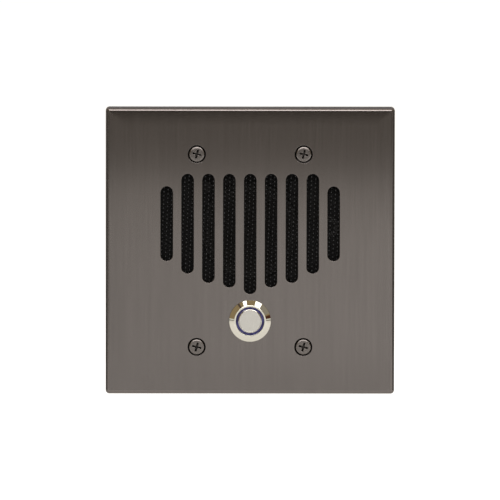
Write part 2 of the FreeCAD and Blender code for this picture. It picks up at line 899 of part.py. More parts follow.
# The loudspeaker, from its front edge to the back of its magnet.
surround_outer = s.speaker_radius - s.surround_edge_width
surround_inner = surround_outer - s.surround_roll_width
surround_lip = surround_inner - s.surround_lip_width
basket_neck = s.speaker_radius - s.basket_flange_width
basket_waist = basket_neck - s.basket_taper
basket_cup = basket_waist - s.basket_ledge_width
waist = flange_front + s.basket_waist_depth
cup_floor = waist + s.basket_cup_depth
ledge = waist - s.basket_thickness
neck_front = flange_front + s.cone_depth
neck_back = neck_front + s.cone_neck_length
spider_front = neck_back + s.spider_thickness
coil_back = neck_front + s.former_length
plate_back = cup_floor + s.top_plate_thickness
magnet_back = plate_back + s.magnet_thickness
magnet_radius = basket_cup + s.magnet_overhang
plate_bore = basket_cup - s.top_plate_width
coil_radius = plate_bore - s.top_plate_gap - s.coil_thickness


def on_speaker(label, profile):
    return turned(label, profile, 0, s.speaker_z)


def speaker_ring(label, inner, outer, start, end):
    return ring(label, inner, outer, start, end, 0, s.speaker_z)


def make_surround():
    """A soft edge with a rolled bulge between two flat lips."""
    wall, roll = s.surround_thickness, s.surround_roll_radius
    return on_speaker("cone_surround", [
        (surround_lip, surround_front),
        (surround_inner, surround_front, roll, 1),
        (surround_outer, surround_front),
        (s.speaker_radius, surround_front),
        (s.speaker_radius, flange_front),
        (surround_outer - wall, flange_front, roll - wall, -1),
        (surround_inner + wall, flange_front),
        (surround_lip, flange_front),
    ])


def make_basket():
    metal = s.basket_thickness
    hole = plate_bore + metal
    shell = on_speaker("basket shell", [
        (s.speaker_radius, flange_front),
        (s.speaker_radius, flange_back),
        (basket_neck, flange_back),
        (basket_waist, waist),
        (basket_cup, waist),
        (basket_cup, cup_floor),
        (hole, cup_floor),
        (hole, cup_floor - metal),
        (basket_cup - metal, cup_floor - metal),
        (basket_cup - metal, ledge),
        (basket_waist - metal, ledge),
        (basket_neck - metal, flange_front),
    ])
    reach, half = s.speaker_radius, s.window_width / 2
    start = flange_back + s.window_start
    length = ledge - s.window_ledge_gap - start
    across = block(-reach, start, s.speaker_z - half, reach * 2, length, s.window_width)
    upright = block(-half, start, s.speaker_z - reach, s.window_width, length, reach * 2)
    return cut("speaker_basket", shell, [across, upright])


def make_cone():
    edge = surround_lip + s.cone_edge_width
    rear = flange_front + s.cone_thickness
    return on_speaker("speaker_cone", [
        (coil_radius, neck_front),
        (surround_lip, flange_front),
        (edge, flange_front),
        (edge, rear),
        (surround_lip + s.cone_thickness / 2, rear),
        (coil_radius, neck_back),
    ])


def make_dust_cap():
    radius, rise, wall = coil_radius + s.dust_cap_overhang, s.dust_cap_rise, s.dust_cap_thickness
    sphere = (radius * radius + rise * rise) / (rise * 2)
    rim = neck_front - s.dust_cap_seat - wall
    return on_speaker("dust_cap", [
        (0, rim - rise, sphere, 1),
        (radius, rim),
        (radius, rim + wall, sphere, -1),
        (0, rim - rise + wall),
    ])


def make_spider():
    """A corrugated disc from the coil's former to the basket's ledge."""
    waves = 7
    outer = basket_waist - s.basket_thickness - s.spider_edge_gap
    step = (outer - coil_radius) / (waves + 2)
    seat = ledge - s.spider_thickness
    face = [(coil_radius, spider_front)]
    for wave in range(1, waves + 1):
        level = spider_front + (-s.spider_wave if wave % 2 else s.spider_wave)
        face.append((coil_radius + step * wave, level))
    face += [(outer - step, seat), (outer, seat)]
    rear = [(radius, level + s.spider_thickness) for radius, level in reversed(face)]
    return on_speaker("spider", face + rear)


def make_yoke():
    pole = coil_radius - s.former_thickness - s.pole_gap
    return on_speaker("yoke", [
        (0, cup_floor),
        (pole, cup_floor),
        (pole, magnet_back),
        (basket_cup, magnet_back),
        (basket_cup, magnet_back + s.yoke_thickness),
        (0, magnet_back + s.yoke_thickness),
    ])


tag_left = basket_cup + s.thread_gap
tag_board_end = tag_left + s.tag_board_length
tag_front = waist + s.tag_board_thickness
tag_end = tag_board_end + s.tag_overhang
tag_levels = [s.speaker_z - s.tag_offset, s.speaker_z + s.tag_offset]

keep(speaker_ring("speaker_gasket", s.speaker_radius - s.speaker_seat_width, s.speaker_radius,
                  baffle_back, surround_front))
keep(make_surround())
keep(make_basket())
keep(group("speaker_screws", [
    pan_screw(x, flange_back, z, s.speaker_screw_radius, s.speaker_screw_length,
              s.speaker_boss_radius + s.speaker_boss_gap + s.speaker_screw_head_overlap,
              s.speaker_screw_head_height)
    for x, z in speaker_screw_places
]))
keep(make_cone())
keep(make_dust_cap())
keep(speaker_ring("voice_coil_former", coil_radius - s.former_thickness, coil_radius,
                  neck_front, coil_back))
keep(speaker_ring("voice_coil", coil_radius, coil_radius + s.coil_thickness,
                  coil_back - s.coil_length, coil_back))
keep(make_spider())
keep(speaker_ring("top_plate", plate_bore, basket_cup, cup_floor, plate_back))
keep(speaker_ring("speaker_magnet", magnet_radius - s.magnet_ring_width, magnet_radius,
                  plate_back, magnet_back))
keep(make_yoke())
tag_board = keep(block(tag_left, waist, s.speaker_z - s.tag_board_width / 2,
                       s.tag_board_length, s.tag_board_thickness, s.tag_board_width))
tag_board.Label = "tag_board"
keep(group("solder_tags", [
    block(tag_end - s.tag_length, tag_front, level - s.tag_width / 2,
          s.tag_length, s.tag_thickness, s.tag_width)
    for level in tag_levels
]))


# The microphone sits in a rubber boot behind the right-hand slot.
boot_front = floor_front - s.boot_lip
boot_back = baffle_back + s.boot_rear_lip
boot_bore = s.microphone_radius + s.boot_fit
boot_mouth = boot_bore - s.boot_mouth_lip
capsule_front = boot_front + s.boot_mouth_depth
capsule_back = capsule_front + s.microphone_length

keep(turned("microphone_boot", [
    (boot_mouth, boot_front),
    (boot_lip, boot_front),
    (boot_lip, floor_front),
    (boot_neck, floor_front),
    (boot_neck, baffle_back),
    (boot_lip, baffle_back),
    (boot_lip, boot_back),
    (boot_bore, boot_back),
    (boot_bore, capsule_front),
    (boot_mouth, capsule_front),
], microphone_x, s.microphone_z))
keep(ring("microphone", 0, s.microphone_radius, capsule_front, capsule_back, microphone_x, s.microphone_z))


# The push button is clamped to the plate by its nut. Its places along Y, from the front.
flange_seat = front - s.button_gasket_thickness
button_front = flange_seat - s.button_flange_height
shoulder = button_front + s.button_shoulder_depth
ring_foot_back = shoulder + s.light_ring_foot
led_back = ring_foot_back + s.led_height
led_board_back = led_back + s.led_board_thickness
cap_front = button_front + s.cap_recess
cap_back = cap_front + s.cap_skirt
plunger_flange_back = ring_foot_back + s.plunger_flange
spring_stop = plunger_flange_back + s.spring_space
seat_back = spring_stop + s.spring_seat_thickness
stem_end = seat_back + s.plunger_stem_overrun
bridge_back = stem_end + s.contact_bridge_thickness
contact_face = bridge_back + s.button_travel + s.contact_gap
chamber_floor = contact_face + s.contact_head_height
barrel_back = chamber_floor + s.switch_floor
tail_start = barrel_back + s.switch_flange
tail_end = tail_start + s.switch_tail
pin_end = tail_end + s.button_pin_length

# The button's radii, from its cap outwards and from its barrel inwards.
light_ring_bore = s.cap_radius + s.cap_fit
light_ring_outer = light_ring_bore + s.light_ring_wall
front_bore = light_ring_outer + s.light_ring_gap
bevel_inner = front_bore + s.button_lip_width
barrel = s.button_barrel_radius
barrel_bore = barrel - s.button_barrel_wall
barrel_hole = barrel + s.button_hole_gap
flange_outer = barrel + s.button_flange_width
base_radius = barrel_bore - s.light_ring_foot_gap
seat_inner = base_radius - s.spring_seat_wall
led_circle = seat_inner + s.spring_seat_wall / 2
led_levels = [button_z - led_circle, button_z + led_circle]
led_pin_hole = s.led_pin_radius + s.pin_hole_gap


def on_button(label, profile):
    return turned(label, profile, 0, button_z)


def button_ring(label, inner, outer, start, end):
    return ring(label, inner, outer, start, end, 0, button_z)


def make_button_housing():
    return on_button("button_housing", [
        (front_bore + s.button_lip_chamfer, button_front),
        (bevel_inner, button_front),
        (flange_outer, flange_seat - s.button_rim_height),
        (flange_outer, flange_seat),
        (barrel, flange_seat),
        (barrel, barrel_back),
        (barrel_bore, barrel_back),
        (barrel_bore, shoulder),
        (front_bore, shoulder),
        (front_bore, button_front + s.button_lip_chamfer),
    ])


def make_lock_nut():
    start = back + s.lock_washer_thickness
    body = hexagon(0, start, button_z, s.lock_nut_flats, s.lock_nut_thickness)
    bore = rod(0, start, button_z, barrel + s.thread_gap, s.lock_nut_thickness)
    return cut("lock_nut", body, [bore])


def make_light_ring():
    face = button_front + s.light_ring_recess
    return on_button("light_ring", [
        (light_ring_bore, face),
        (light_ring_outer, face),
        (light_ring_outer, shoulder),
        (base_radius, shoulder),
        (base_radius, ring_foot_back),
        (light_ring_bore, ring_foot_back),
    ])


def make_button_cap():
    inner = s.cap_radius - s.cap_wall
    return on_button("button_cap", [
        (0, cap_front),
        (s.cap_radius - s.cap_chamfer, cap_front),
        (s.cap_radius, cap_front + s.cap_chamfer),
        (s.cap_radius, cap_back),
        (inner, cap_back),
        (inner, cap_front + s.cap_crown),
        (0, cap_front + s.cap_crown),
    ])


def make_plunger():
    head = s.cap_radius - s.cap_wall - s.plunger_fit
    neck = s.cap_radius - s.plunger_fit
    flange = seat_inner - s.plunger_flange_gap
    return on_button("plunger", [
        (0, cap_front + s.cap_crown),
        (head, cap_front + s.cap_crown),
        (head, cap_back),
        (neck, cap_back),
        (neck, ring_foot_back),
        (flange, ring_foot_back),
        (flange, plunger_flange_back),
        (s.plunger_stem_radius, plunger_flange_back),
        (s.plunger_stem_radius, stem_end),
        (s.plunger_tip_radius, stem_end),
        (s.plunger_tip_radius, stem_end + s.plunger_tip_length),
        (0, stem_end + s.plunger_tip_length),
    ])


def make_return_spring():
    wire = s.spring_wire_radius.value
    length = s.spring_space.value - 2 * wire
    radius = (s.plunger_stem_radius + s.spring_stem_gap).value
    helix = Part.makeHelix(length / s.spring_turns.value, length, radius)
    section = Part.Wire(Part.makeCircle(wire, FreeCAD.Vector(radius, 0, 0), FreeCAD.Vector(0, 1, 0)))
    spring = doc.addObject("Part::Feature", "Spring")
    spring.Label = "return_spring"
    spring.Shape = Part.Wire(helix).makePipeShell([section], True, True)
    start = FreeCAD.Vector(0, plunger_flange_back.value + wire, button_z.value)
    spring.Placement = FreeCAD.Placement(start, quarter_turn)
    return spring


def make_spring_seat():
    bore = s.plunger_stem_radius + s.plunger_stem_fit
    seat = on_button("seat blank", [
        (bore, spring_stop),
        (seat_inner, spring_stop),
        (seat_inner, led_board_back),
        (base_radius, led_board_back),
        (base_radius, seat_back),
        (bore, seat_back),
    ])
    holes = [rod(0, led_board_back, z, led_pin_hole, seat_back - led_board_back) for z in led_levels]
    return cut("spring_seat", seat, holes)


def make_switch_base():
    chamber = base_radius - s.switch_chamber_wall
    flange = barrel - s.switch_flange_inset
    tail = barrel - s.switch_tail_inset
    base = on_button("switch blank", [
        (0, chamber_floor),
        (chamber, chamber_floor),
        (chamber, seat_back),
        (base_radius, seat_back),
        (base_radius, barrel_back),
        (flange, barrel_back),
        (flange, tail_start),
        (tail, tail_start),
        (tail, tail_end),
        (0, tail_end),
    ])
    length = tail_end - seat_back
    contact_hole = s.contact_pin_radius + s.pin_hole_gap
    holes = [rod(0, seat_back, z, led_pin_hole, length) for z in led_levels]
    holes += [rod(x, seat_back, button_z, contact_hole, length) for x in (-s.contact_x, s.contact_x)]
    return cut("switch_base", base, holes)


def make_moving_contact():
    length, width = (s.contact_x + s.contact_bridge_overhang) * 2, s.contact_bridge_width
    bar = block(-length / 2, stem_end, button_z - width / 2, length, s.contact_bridge_thickness, width)
    hole = rod(0, stem_end, button_z, s.plunger_tip_radius + s.pin_hole_gap, s.contact_bridge_thickness)
    return cut("moving_contact", bar, [hole])


def make_fixed_contact(x):
    return turned("fixed contact", [
        (0, contact_face),
        (s.contact_head_radius, contact_face),
        (s.contact_head_radius, chamber_floor),
        (s.contact_pin_radius, chamber_floor),
        (s.contact_pin_radius, pin_end),
        (0, pin_end),
    ], x, button_z)


def make_led(angle):
    """One small lamp under the light ring, standing on the ring-shaped board."""
    across = led_circle * math.cos(math.radians(angle)) - s.led_width / 2
    up = led_circle * math.sin(math.radians(angle)) - s.led_width / 2
    return block(across, ring_foot_back, button_z + up, s.led_width, s.led_height, s.led_width)


keep(button_ring("button_gasket", barrel_hole, flange_outer - s.button_gasket_inset, flange_seat, front))
keep(make_button_housing())
keep(button_ring("lock_washer", barrel + s.thread_gap, barrel + s.thread_gap + s.lock_washer_width,
                 back, back + s.lock_washer_thickness))
keep(make_lock_nut())
keep(make_light_ring())
keep(make_button_cap())
keep(make_plunger())
keep(make_return_spring())
keep(make_spring_seat())
keep(make_switch_base())
keep(make_moving_contact())
keep(group("fixed_contacts", [make_fixed_contact(x) for x in (-s.contact_x, s.contact_x)]))
keep(button_ring("led_board", seat_inner - s.led_board_margin, base_radius, led_back, led_board_back))
keep(group("leds", [make_led(angle) for angle in (0, 45, 135, 180, 225, 315)]))
keep(group("led_pins", [
    rod(0, led_board_back, z, s.led_pin_radius, pin_end - led_board_back) for z in led_levels
]))


# The circuit board and its parts. Each part's leads go through holes in the board.
ways = driving_sizes["terminal_ways"]
way_places = [s.terminal_pitch * (way - (ways - 1) / 2) for way in range(ways)]
chip_rows = [s.chip_z + s.chip_pitch * (row - 1.5) for row in range(4)]
chip_leg_offset = s.chip_width / 2 + s.chip_leg_spread
chip_leg_places = [(s.chip_x + chip_leg_offset * side, z) for side in (-1, 1) for z in chip_rows]
can_places = [
    (s.can_right_x, s.can_upper_z),
    (s.can_right_x, -s.can_lower_z),
    (-s.can_left_x, s.can_left_z),
    (-s.can_inner_x, s.can_inner_z),
]
resistor_rows = [s.resistor_pitch * row - s.resistor_z for row in range(5)]
trimmer_lead_places = [(-s.trimmer_x, s.trimmer_z + s.chip_pitch * step) for step in (-1, 0, 1)]
terminal_pin_hole = s.terminal_pin_width * diagonal + s.pin_hole_gap
terminal_hollow = board_back + s.terminal_floor
terminal_hollow_end = terminal_hollow + s.terminal_chamber_height
terminal_seat = terminal_hollow_end + s.terminal_web
terminal_top = board_back + s.terminal_height
chamber_width = s.terminal_pitch - s.terminal_wall * 2
clamp_front = terminal_hollow + s.clamp_front_gap
clamp_back = terminal_hollow_end - s.clamp_rear_gap
clamp_low = s.terminal_z - s.clamp_depth / 2
rotor_start = board_back + s.trimmer_height - s.rotor_recess


def make_circuit_board():
    lead_hole = s.lead_radius + s.lead_hole_gap
    small_holes = chip_leg_places + trimmer_lead_places
    for x, z in can_places:
        small_holes += [(x + s.can_lead_spacing * side / 2, z) for side in (-1, 1)]
    for z in resistor_rows:
        small_holes += [(s.resistor_lead_spacing * side / 2 - s.resistor_x, z) for side in (-1, 1)]

    def draw(sketch):
        half = baffle_side - s.board_side_inset
        rectangle(sketch, -half, baffle_bottom + s.board_edge_inset, half, baffle_top - s.board_edge_inset)
        circle(sketch, 0, s.speaker_z, magnet_radius + s.board_hole_gap)
        for x, z in studs:
            circle(sketch, x, z, stud_hole)
        for x in way_places:
            circle(sketch, x, s.terminal_z, terminal_pin_hole)
        for x, z in small_holes:
            circle(sketch, x, z, lead_hole)

    return slab("circuit_board", board_front, s.board_thickness, draw)


def make_terminal_block():
    width, depth = s.terminal_pitch * ways, s.terminal_depth
    top = s.terminal_z + depth / 2
    floor = clamp_low - s.clamp_side_gap
    tools = []
    for x in way_places:
        tools.append(block(x - chamber_width / 2, terminal_hollow, floor,
                           chamber_width, s.terminal_chamber_height, top - floor))
        tools.append(rod(x, terminal_hollow_end, s.terminal_z,
                         s.terminal_screw_radius + s.terminal_web_hole_gap, s.terminal_web))
        tools.append(rod(x, terminal_seat, s.terminal_z,
                         s.terminal_well_radius, terminal_top - terminal_seat))
        tools.append(rod(x, board_back, s.terminal_z, terminal_pin_hole, s.terminal_floor))
    housing = block(-width / 2, board_back, top - depth, width, s.terminal_height, depth)
    return cut("terminal_block", housing, tools)


def make_terminal_clamp(x):
    width = chamber_width - s.clamp_side_gap * 2
    height = clamp_back - clamp_front
    frame = block(x - width / 2, clamp_front, clamp_low, width, height, s.clamp_depth)
    window = block(x - width / 2 + s.clamp_side_wall, clamp_front + s.clamp_floor, clamp_low,
                   width - s.clamp_side_wall * 2, height - s.clamp_floor - s.clamp_roof, s.clamp_depth)
    bore = rod(x, clamp_back - s.clamp_roof, s.terminal_z,
               s.terminal_screw_radius + s.thread_gap, s.clamp_roof)
    return cut("terminal clamp", frame, [window, bore])


def make_terminal_screw(x):
    tip = clamp_back - s.clamp_roof
    head = s.terminal_well_radius - s.terminal_screw_head_gap
    head_end = terminal_seat + s.terminal_screw_head_height
    screw = turned("terminal screw", [
        (0, tip),
        (s.terminal_screw_radius, tip),
        (s.terminal_screw_radius, terminal_seat),
        (head, terminal_seat),
        (head, head_end),
        (0, head_end),
    ], x, s.terminal_z)
    width, depth = s.rotor_slot_width, s.rotor_slot_depth
    bar = block(x - head, head_end - depth, s.terminal_z - width / 2, head * 2, depth, width)
    return cut("terminal screw with slot", screw, [bar])


def make_terminal_pin(x):
    width = s.terminal_pin_width
    return block(x - width / 2, lead_end, s.terminal_z - width / 2, width, clamp_front - lead_end, width)


def make_amplifier_chip():
    base = board_back + s.chip_standoff
    level = base + s.chip_height / 2
    width, wall = s.chip_leg_width, s.chip_leg_thickness
    shoulder_length = s.chip_leg_spread + wall / 2
    pieces = [block(s.chip_x - s.chip_width / 2, base, s.chip_z - s.chip_length / 2,
                    s.chip_width, s.chip_height, s.chip_length)]
    for z in chip_rows:
        for left, leg in ((s.chip_x + s.chip_width / 2, s.chip_x + chip_leg_offset),
                          (s.chip_x - chip_leg_offset - wall / 2, s.chip_x - chip_leg_offset)):
            pieces.append(block(left, level, z - width / 2, shoulder_length, wall, width))
            pieces.append(block(leg - wall / 2, lead_end, z - width / 2,
                                wall, level + wall - lead_end, width))
    return joined("amplifier_chip", pieces)


def make_capacitor(x, z):
    radius, groove = s.can_radius, s.can_groove
    bead = board_back + s.can_groove_start
    top = board_back + s.can_height
    can = turned("can", [
        (0, board_back),
        (radius, board_back),
        (radius, bead),
        (radius - groove, bead + groove),
        (radius - groove, bead + groove * 2),
        (radius, bead + groove * 3),
        (radius, top - groove),
        (radius - groove, top),
        (0, top),
    ], x, z)
    leads = [
        rod(x + s.can_lead_spacing * side / 2, lead_end, z, s.lead_radius, board_back - lead_end)
        for side in (-1, 1)
    ]
    return joined("capacitor", [can] + leads)


def make_resistor(z):
    axis_y = board_back + s.resistor_radius + s.resistor_clearance
    bar = doc.addObject("Part::Cylinder", "Bar")
    bar.Placement = FreeCAD.Placement(FreeCAD.Vector(), FreeCAD.Rotation(FreeCAD.Vector(0, 1, 0), 90))
    bind(bar, {"Radius": s.resistor_radius, "Height": s.resistor_length})
    place(bar, -s.resistor_x - s.resistor_length / 2, axis_y, z)
    left, right = (s.resistor_lead_spacing * side / 2 - s.resistor_x for side in (-1, 1))
    lead = bent_wire("resistor lead", [
        (left, lead_end, z),
        (left, axis_y, z),
        (right, axis_y, z),
        (right, lead_end, z),
    ], s.lead_radius, share=0.3)
    return joined("resistor", [bar, lead])


def make_volume_trimmer():
    width = s.trimmer_width
    case = block(-s.trimmer_x - width / 2, board_back, s.trimmer_z - width / 2,
                 width, s.trimmer_height, width)
    pit = rod(-s.trimmer_x, rotor_start, s.trimmer_z, s.rotor_radius + s.rotor_fit, s.rotor_recess)
    leads = [rod(x, lead_end, z, s.lead_radius, board_back - lead_end) for x, z in trimmer_lead_places]
    return joined("volume_trimmer", [cut("trimmer case", case, [pit])] + leads)


def make_trimmer_rotor():
    disc = rod(-s.trimmer_x, rotor_start, s.trimmer_z, s.rotor_radius, s.rotor_height)
    length, width, depth = s.rotor_slot_length, s.rotor_slot_width, s.rotor_slot_depth
    bar = block(-s.trimmer_x - length / 2, rotor_start + s.rotor_height - depth,
                s.trimmer_z - width / 2, length, depth, width)
    return cut("trimmer_rotor", disc, [bar])


keep(make_circuit_board())
keep(make_terminal_block())
keep(group("terminal_screws", [make_terminal_screw(x) for x in way_places]))
keep(group("terminal_clamps", [make_terminal_clamp(x) for x in way_places]))
keep(group("terminal_pins", [make_terminal_pin(x) for x in way_places]))
keep(make_amplifier_chip())
keep(group("capacitors", [make_capacitor(x, z) for x, z in can_places]))
keep(group("resistors", [make_resistor(z) for z in resistor_rows]))
keep(make_volume_trimmer())
keep(make_trimmer_rotor())


# Wires are held by the object from end to end.
pad_row = baffle_bottom + s.board_edge_inset + s.pad_row_inset
tag_middle = tag_front + s.tag_thickness / 2
tinsel_start = tag_end - s.tag_overhang / 2
tinsel_end = coil_radius + s.tinsel_inward
tinsel_y = flange_back + s.tinsel_level


def button_lead(x, z, rise, pad_x):
    """From a pin at the back of the button, over and down to a pad on the board."""
    return bent_wire("button lead", [
        (x, pin_end, z),
        (x, board_back + rise, z),
        (pad_x, board_back + rise, pad_row),
        (pad_x, board_back, pad_row),
    ], s.lead_wire_radius)


def speaker_lead(level):
    bend = tag_end + s.speaker_lead_run
    return bent_wire("speaker lead", [
        (tag_end, tag_middle, level),
        (bend, tag_middle, level),
        (bend, board_front, level),
    ], s.thin_wire_radius)


def tinsel_lead(level):
    return bent_wire("tinsel lead", [
        (tinsel_start, tag_front, level),
        (tinsel_start, tinsel_y, level),
        (tinsel_end + s.tinsel_tail, tinsel_y, level),
        (tinsel_end, tinsel_y - s.tinsel_dip, level),
    ], s.tinsel_radius)


def microphone_lead(side):
    x = microphone_x + s.microphone_lead_spread * side
    run, shifted = s.microphone_lead_run, s.microphone_z + s.microphone_lead_shift
    return bent_wire("microphone lead", [
        (x, capsule_back, s.microphone_z),
        (x, capsule_back + run, s.microphone_z),
        (x, board_front - run, shifted),
        (x, board_front, shifted),
    ], s.thin_wire_radius)


keep(group("contact_leads", [
    button_lead(s.contact_x * side, button_z, s.contact_lead_rise, s.contact_pad_x * side) for side in (-1, 1)
]))
keep(group("led_leads", [
    button_lead(0, led_levels[1], s.upper_led_lead_rise, s.led_pad_x),
    button_lead(0, led_levels[0], s.lower_led_lead_rise, -s.led_pad_x),
]))
keep(group("speaker_leads", [speaker_lead(level) for level in tag_levels]))
keep(group("tinsel_leads", [tinsel_lead(level) for level in tag_levels]))
keep(group("microphone_leads", [microphone_lead(side) for side in (-1, 1)]))


doc.recompute()
for item in doc.Objects:
    if "Invalid" in item.State or "Error" in item.State:
        raise RuntimeError(f"{item.Label} ({item.Name}) failed: {item.State}")
for node in nodes:
    if node.Shape.isNull() or not node.Shape.isValid():
        raise RuntimeError(f"{node.Label} has no valid shape")

os.makedirs("parts", exist_ok=True)
for node in nodes:
    node.Shape.exportStep(os.path.join("parts", f"{node.Label}.step"))
    size = node.Shape.BoundBox
    print(f"{node.Label}: {len(node.Shape.Solids)} solids, {node.Shape.Volume:.1f} mm3,"
          f" x {size.XMin:.2f} to {size.XMax:.2f}, y {size.YMin:.2f} to {size.YMax:.2f},"
          f" z {size.ZMin:.2f} to {size.ZMax:.2f}")
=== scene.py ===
# Finish of the door intercom speaker: brushed plate, woven mesh, lit-ring button and what is behind them
import json
import math
import random

import bmesh
import bpy
from mathutils import Matrix, Vector

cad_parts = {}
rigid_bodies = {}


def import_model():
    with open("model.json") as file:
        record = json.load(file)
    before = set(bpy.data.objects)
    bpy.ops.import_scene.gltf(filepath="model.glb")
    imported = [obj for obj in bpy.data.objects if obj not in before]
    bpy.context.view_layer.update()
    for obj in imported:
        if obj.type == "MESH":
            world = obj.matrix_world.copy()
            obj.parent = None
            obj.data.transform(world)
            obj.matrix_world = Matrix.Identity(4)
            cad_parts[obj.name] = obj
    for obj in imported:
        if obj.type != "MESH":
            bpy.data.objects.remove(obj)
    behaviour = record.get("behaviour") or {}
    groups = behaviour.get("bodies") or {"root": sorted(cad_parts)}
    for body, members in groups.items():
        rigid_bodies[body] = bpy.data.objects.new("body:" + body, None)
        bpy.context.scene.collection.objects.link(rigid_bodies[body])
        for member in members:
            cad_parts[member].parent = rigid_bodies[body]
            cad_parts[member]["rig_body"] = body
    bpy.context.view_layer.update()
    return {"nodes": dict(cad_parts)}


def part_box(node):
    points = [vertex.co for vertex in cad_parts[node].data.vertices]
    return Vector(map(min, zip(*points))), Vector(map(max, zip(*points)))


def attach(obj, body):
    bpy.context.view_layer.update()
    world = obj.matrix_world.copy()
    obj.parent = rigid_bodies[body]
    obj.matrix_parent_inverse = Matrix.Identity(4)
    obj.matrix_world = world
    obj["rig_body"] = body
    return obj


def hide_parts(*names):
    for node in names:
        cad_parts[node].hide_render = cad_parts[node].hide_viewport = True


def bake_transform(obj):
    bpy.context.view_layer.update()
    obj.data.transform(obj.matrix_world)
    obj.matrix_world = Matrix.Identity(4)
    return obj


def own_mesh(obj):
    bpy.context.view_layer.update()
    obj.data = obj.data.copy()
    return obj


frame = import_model()
mm = 0.001
fullTurn = 2 * math.pi


# Shader sums

class Wire:  # a socket that can be used in sums
    def __init__(self, graph, socket):
        self.graph = graph
        self.socket = socket

    def __add__(self, other):
        return self.graph.sum("ADD", self, other)

    def __radd__(self, other):
        return self.graph.sum("ADD", other, self)

    def __sub__(self, other):
        return self.graph.sum("SUBTRACT", self, other)

    def __rsub__(self, other):
        return self.graph.sum("SUBTRACT", other, self)

    def __mul__(self, other):
        return self.graph.sum("MULTIPLY", self, other)

    def __rmul__(self, other):
        return self.graph.sum("MULTIPLY", other, self)

    def __truediv__(self, other):
        return self.graph.sum("DIVIDE", self, other)

    def __rtruediv__(self, other):
        return self.graph.sum("DIVIDE", other, self)


class Graph:  # the nodes of one material or of the world
    def __init__(self, owner):
        owner.use_nodes = True
        self.tree = owner.node_tree
        self.tree.nodes.clear()

    def add(self, kind, settings=None, sockets=None, out=0):
        node = self.tree.nodes.new("ShaderNode" + kind)
        for name, value in (settings or {}).items():
            setattr(node, name, value)
        for name, value in (sockets or {}).items():
            if isinstance(value, Wire):
                self.tree.links.new(value.socket, node.inputs[name])
            else:
                node.inputs[name].default_value = value
        return Wire(self, node.outputs[out]) if node.outputs else None

    def sum(self, operation, first, second=0.0):
        return self.add("Math", {"operation": operation}, {0: first, 1: second})

    def clamp(self, value):
        return self.add("Clamp", None, {"Value": value})

    def point(self, centre=(0, 0, 0), turn=(0, 0, 0), scale=(1, 1, 1)):
        # object coordinates in millimetres, from centre
        place = self.add("TexCoord", out=3)
        size = tuple(s / mm for s in scale)
        moved = self.add("Mapping", None, {"Vector": place, "Location": tuple(-c * mm for c in centre)})
        return self.add("Mapping", None, {"Vector": moved, "Rotation": turn, "Scale": size})

    def axis(self, vector, letter):
        return self.add("SeparateXYZ", None, {0: vector}, out="XYZ".index(letter))

    def noise(self, vector, scale, detail=2.0, roughness=0.5):
        sockets = {"Vector": vector, "Scale": scale, "Detail": detail, "Roughness": roughness}
        return self.add("TexNoise", None, sockets)

    def cells(self, vector, scale):
        return self.add("TexVoronoi", None, {"Vector": vector, "Scale": scale})

    def cloth(self, pitch):
        # from 0 to 1 over two sets of threads that cross over and under, pitch mm apart
        place = self.point(scale=(1 / pitch, 1 / pitch, 1 / pitch))
        x = self.sum("SINE", self.axis(place, "X") * fullTurn)
        z = self.sum("SINE", self.axis(place, "Z") * fullTurn)
        return self.clamp(x * z * 0.5 + 0.5)

    def span(self, value, low, high, start=0.0, end=1.0):
        # value from low..high becomes start..end
        sockets = {"Value": value, "From Min": low, "From Max": high, "To Min": start, "To Max": end}
        return self.add("MapRange", None, sockets)

    def tint(self, share, first, second):
        colours = [c if isinstance(c, Wire) else (*c, 1) for c in (first, second)]
        return self.add("Mix", {"data_type": "RGBA"}, {0: share, 6: colours[0], 7: colours[1]}, out=2)

    def surface(self, colour, roughness, bump=None, **fixed):
        # bump is (height, depth in mm)
        sockets = {"Base Color": colour if isinstance(colour, Wire) else (*colour, 1), "Roughness": roughness}
        if bump:
            sockets["Normal"] = self.add("Bump", None, {"Height": bump[0], "Distance": bump[1] * mm})
        sockets.update({name.replace("_", " "): value for name, value in fixed.items()})
        shader = self.add("BsdfPrincipled", None, sockets)
        self.add("OutputMaterial", None, {"Surface": shader})


def newFinish(name):
    material = bpy.data.materials.new(name)
    return material, Graph(material)


# Finishes

finishes = {}


def addFinishes(maker, table):
    # materials of one kind: each name with what its maker is given after it
    for name, values in table.items():
        finishes[name] = maker(name, *values)


def brushedMetal(name, colour, shade, roughness, grain, streak, scratch, aniso=0.0):
    # grain is in lines per millimetre along x, y and z
    material, g = newFinish(name)
    fine = g.noise(g.point(scale=grain), 1.0, 3.0)
    broad = g.noise(g.point(scale=(1, 1, 0.35)), 0.09, 2.0)
    wide = tuple(lines * 0.07 if lines > 1 else lines for lines in grain)
    bands = g.noise(g.point(scale=wide), 1.0, 3.0, 0.6)
    wearAndGlint = g.clamp(g.span(fine, 0.3, 0.7) * 0.3 + g.span(bands, 0.25, 0.75) * 0.45 + broad * 0.25)
    tone = g.tint(wearAndGlint, colour, shade)
    rough = g.span(fine, 0.3, 0.7, roughness - streak / 2, roughness + streak / 2)
    g.surface(tone, rough, (fine, scratch), Metallic=1.0, Anisotropic=aniso)
    return material


def turnedMetal(name, colour, shade, roughness, centre, pitch, depth):
    # fine rings about the part's own axis, as a lathe leaves them; pitch and depth in mm
    material, g = newFinish(name)
    place = g.point(centre)
    x = g.axis(place, "X")
    z = g.axis(place, "Z")
    radius = g.sum("SQRT", x * x + z * z)
    rings = g.noise(g.add("CombineXYZ", None, {0: radius / pitch, 1: 0.0, 2: 0.0}), 1.0, 2.0)
    smear = g.noise(g.point(), 0.8, 3.0)
    tone = g.tint(g.clamp(rings * 0.5 + smear * 0.5), colour, shade)
    rough = g.span(smear, 0.3, 0.7, roughness * 0.8, roughness * 1.25)
    g.surface(tone, rough, (rings, depth), Metallic=1.0)
    return material


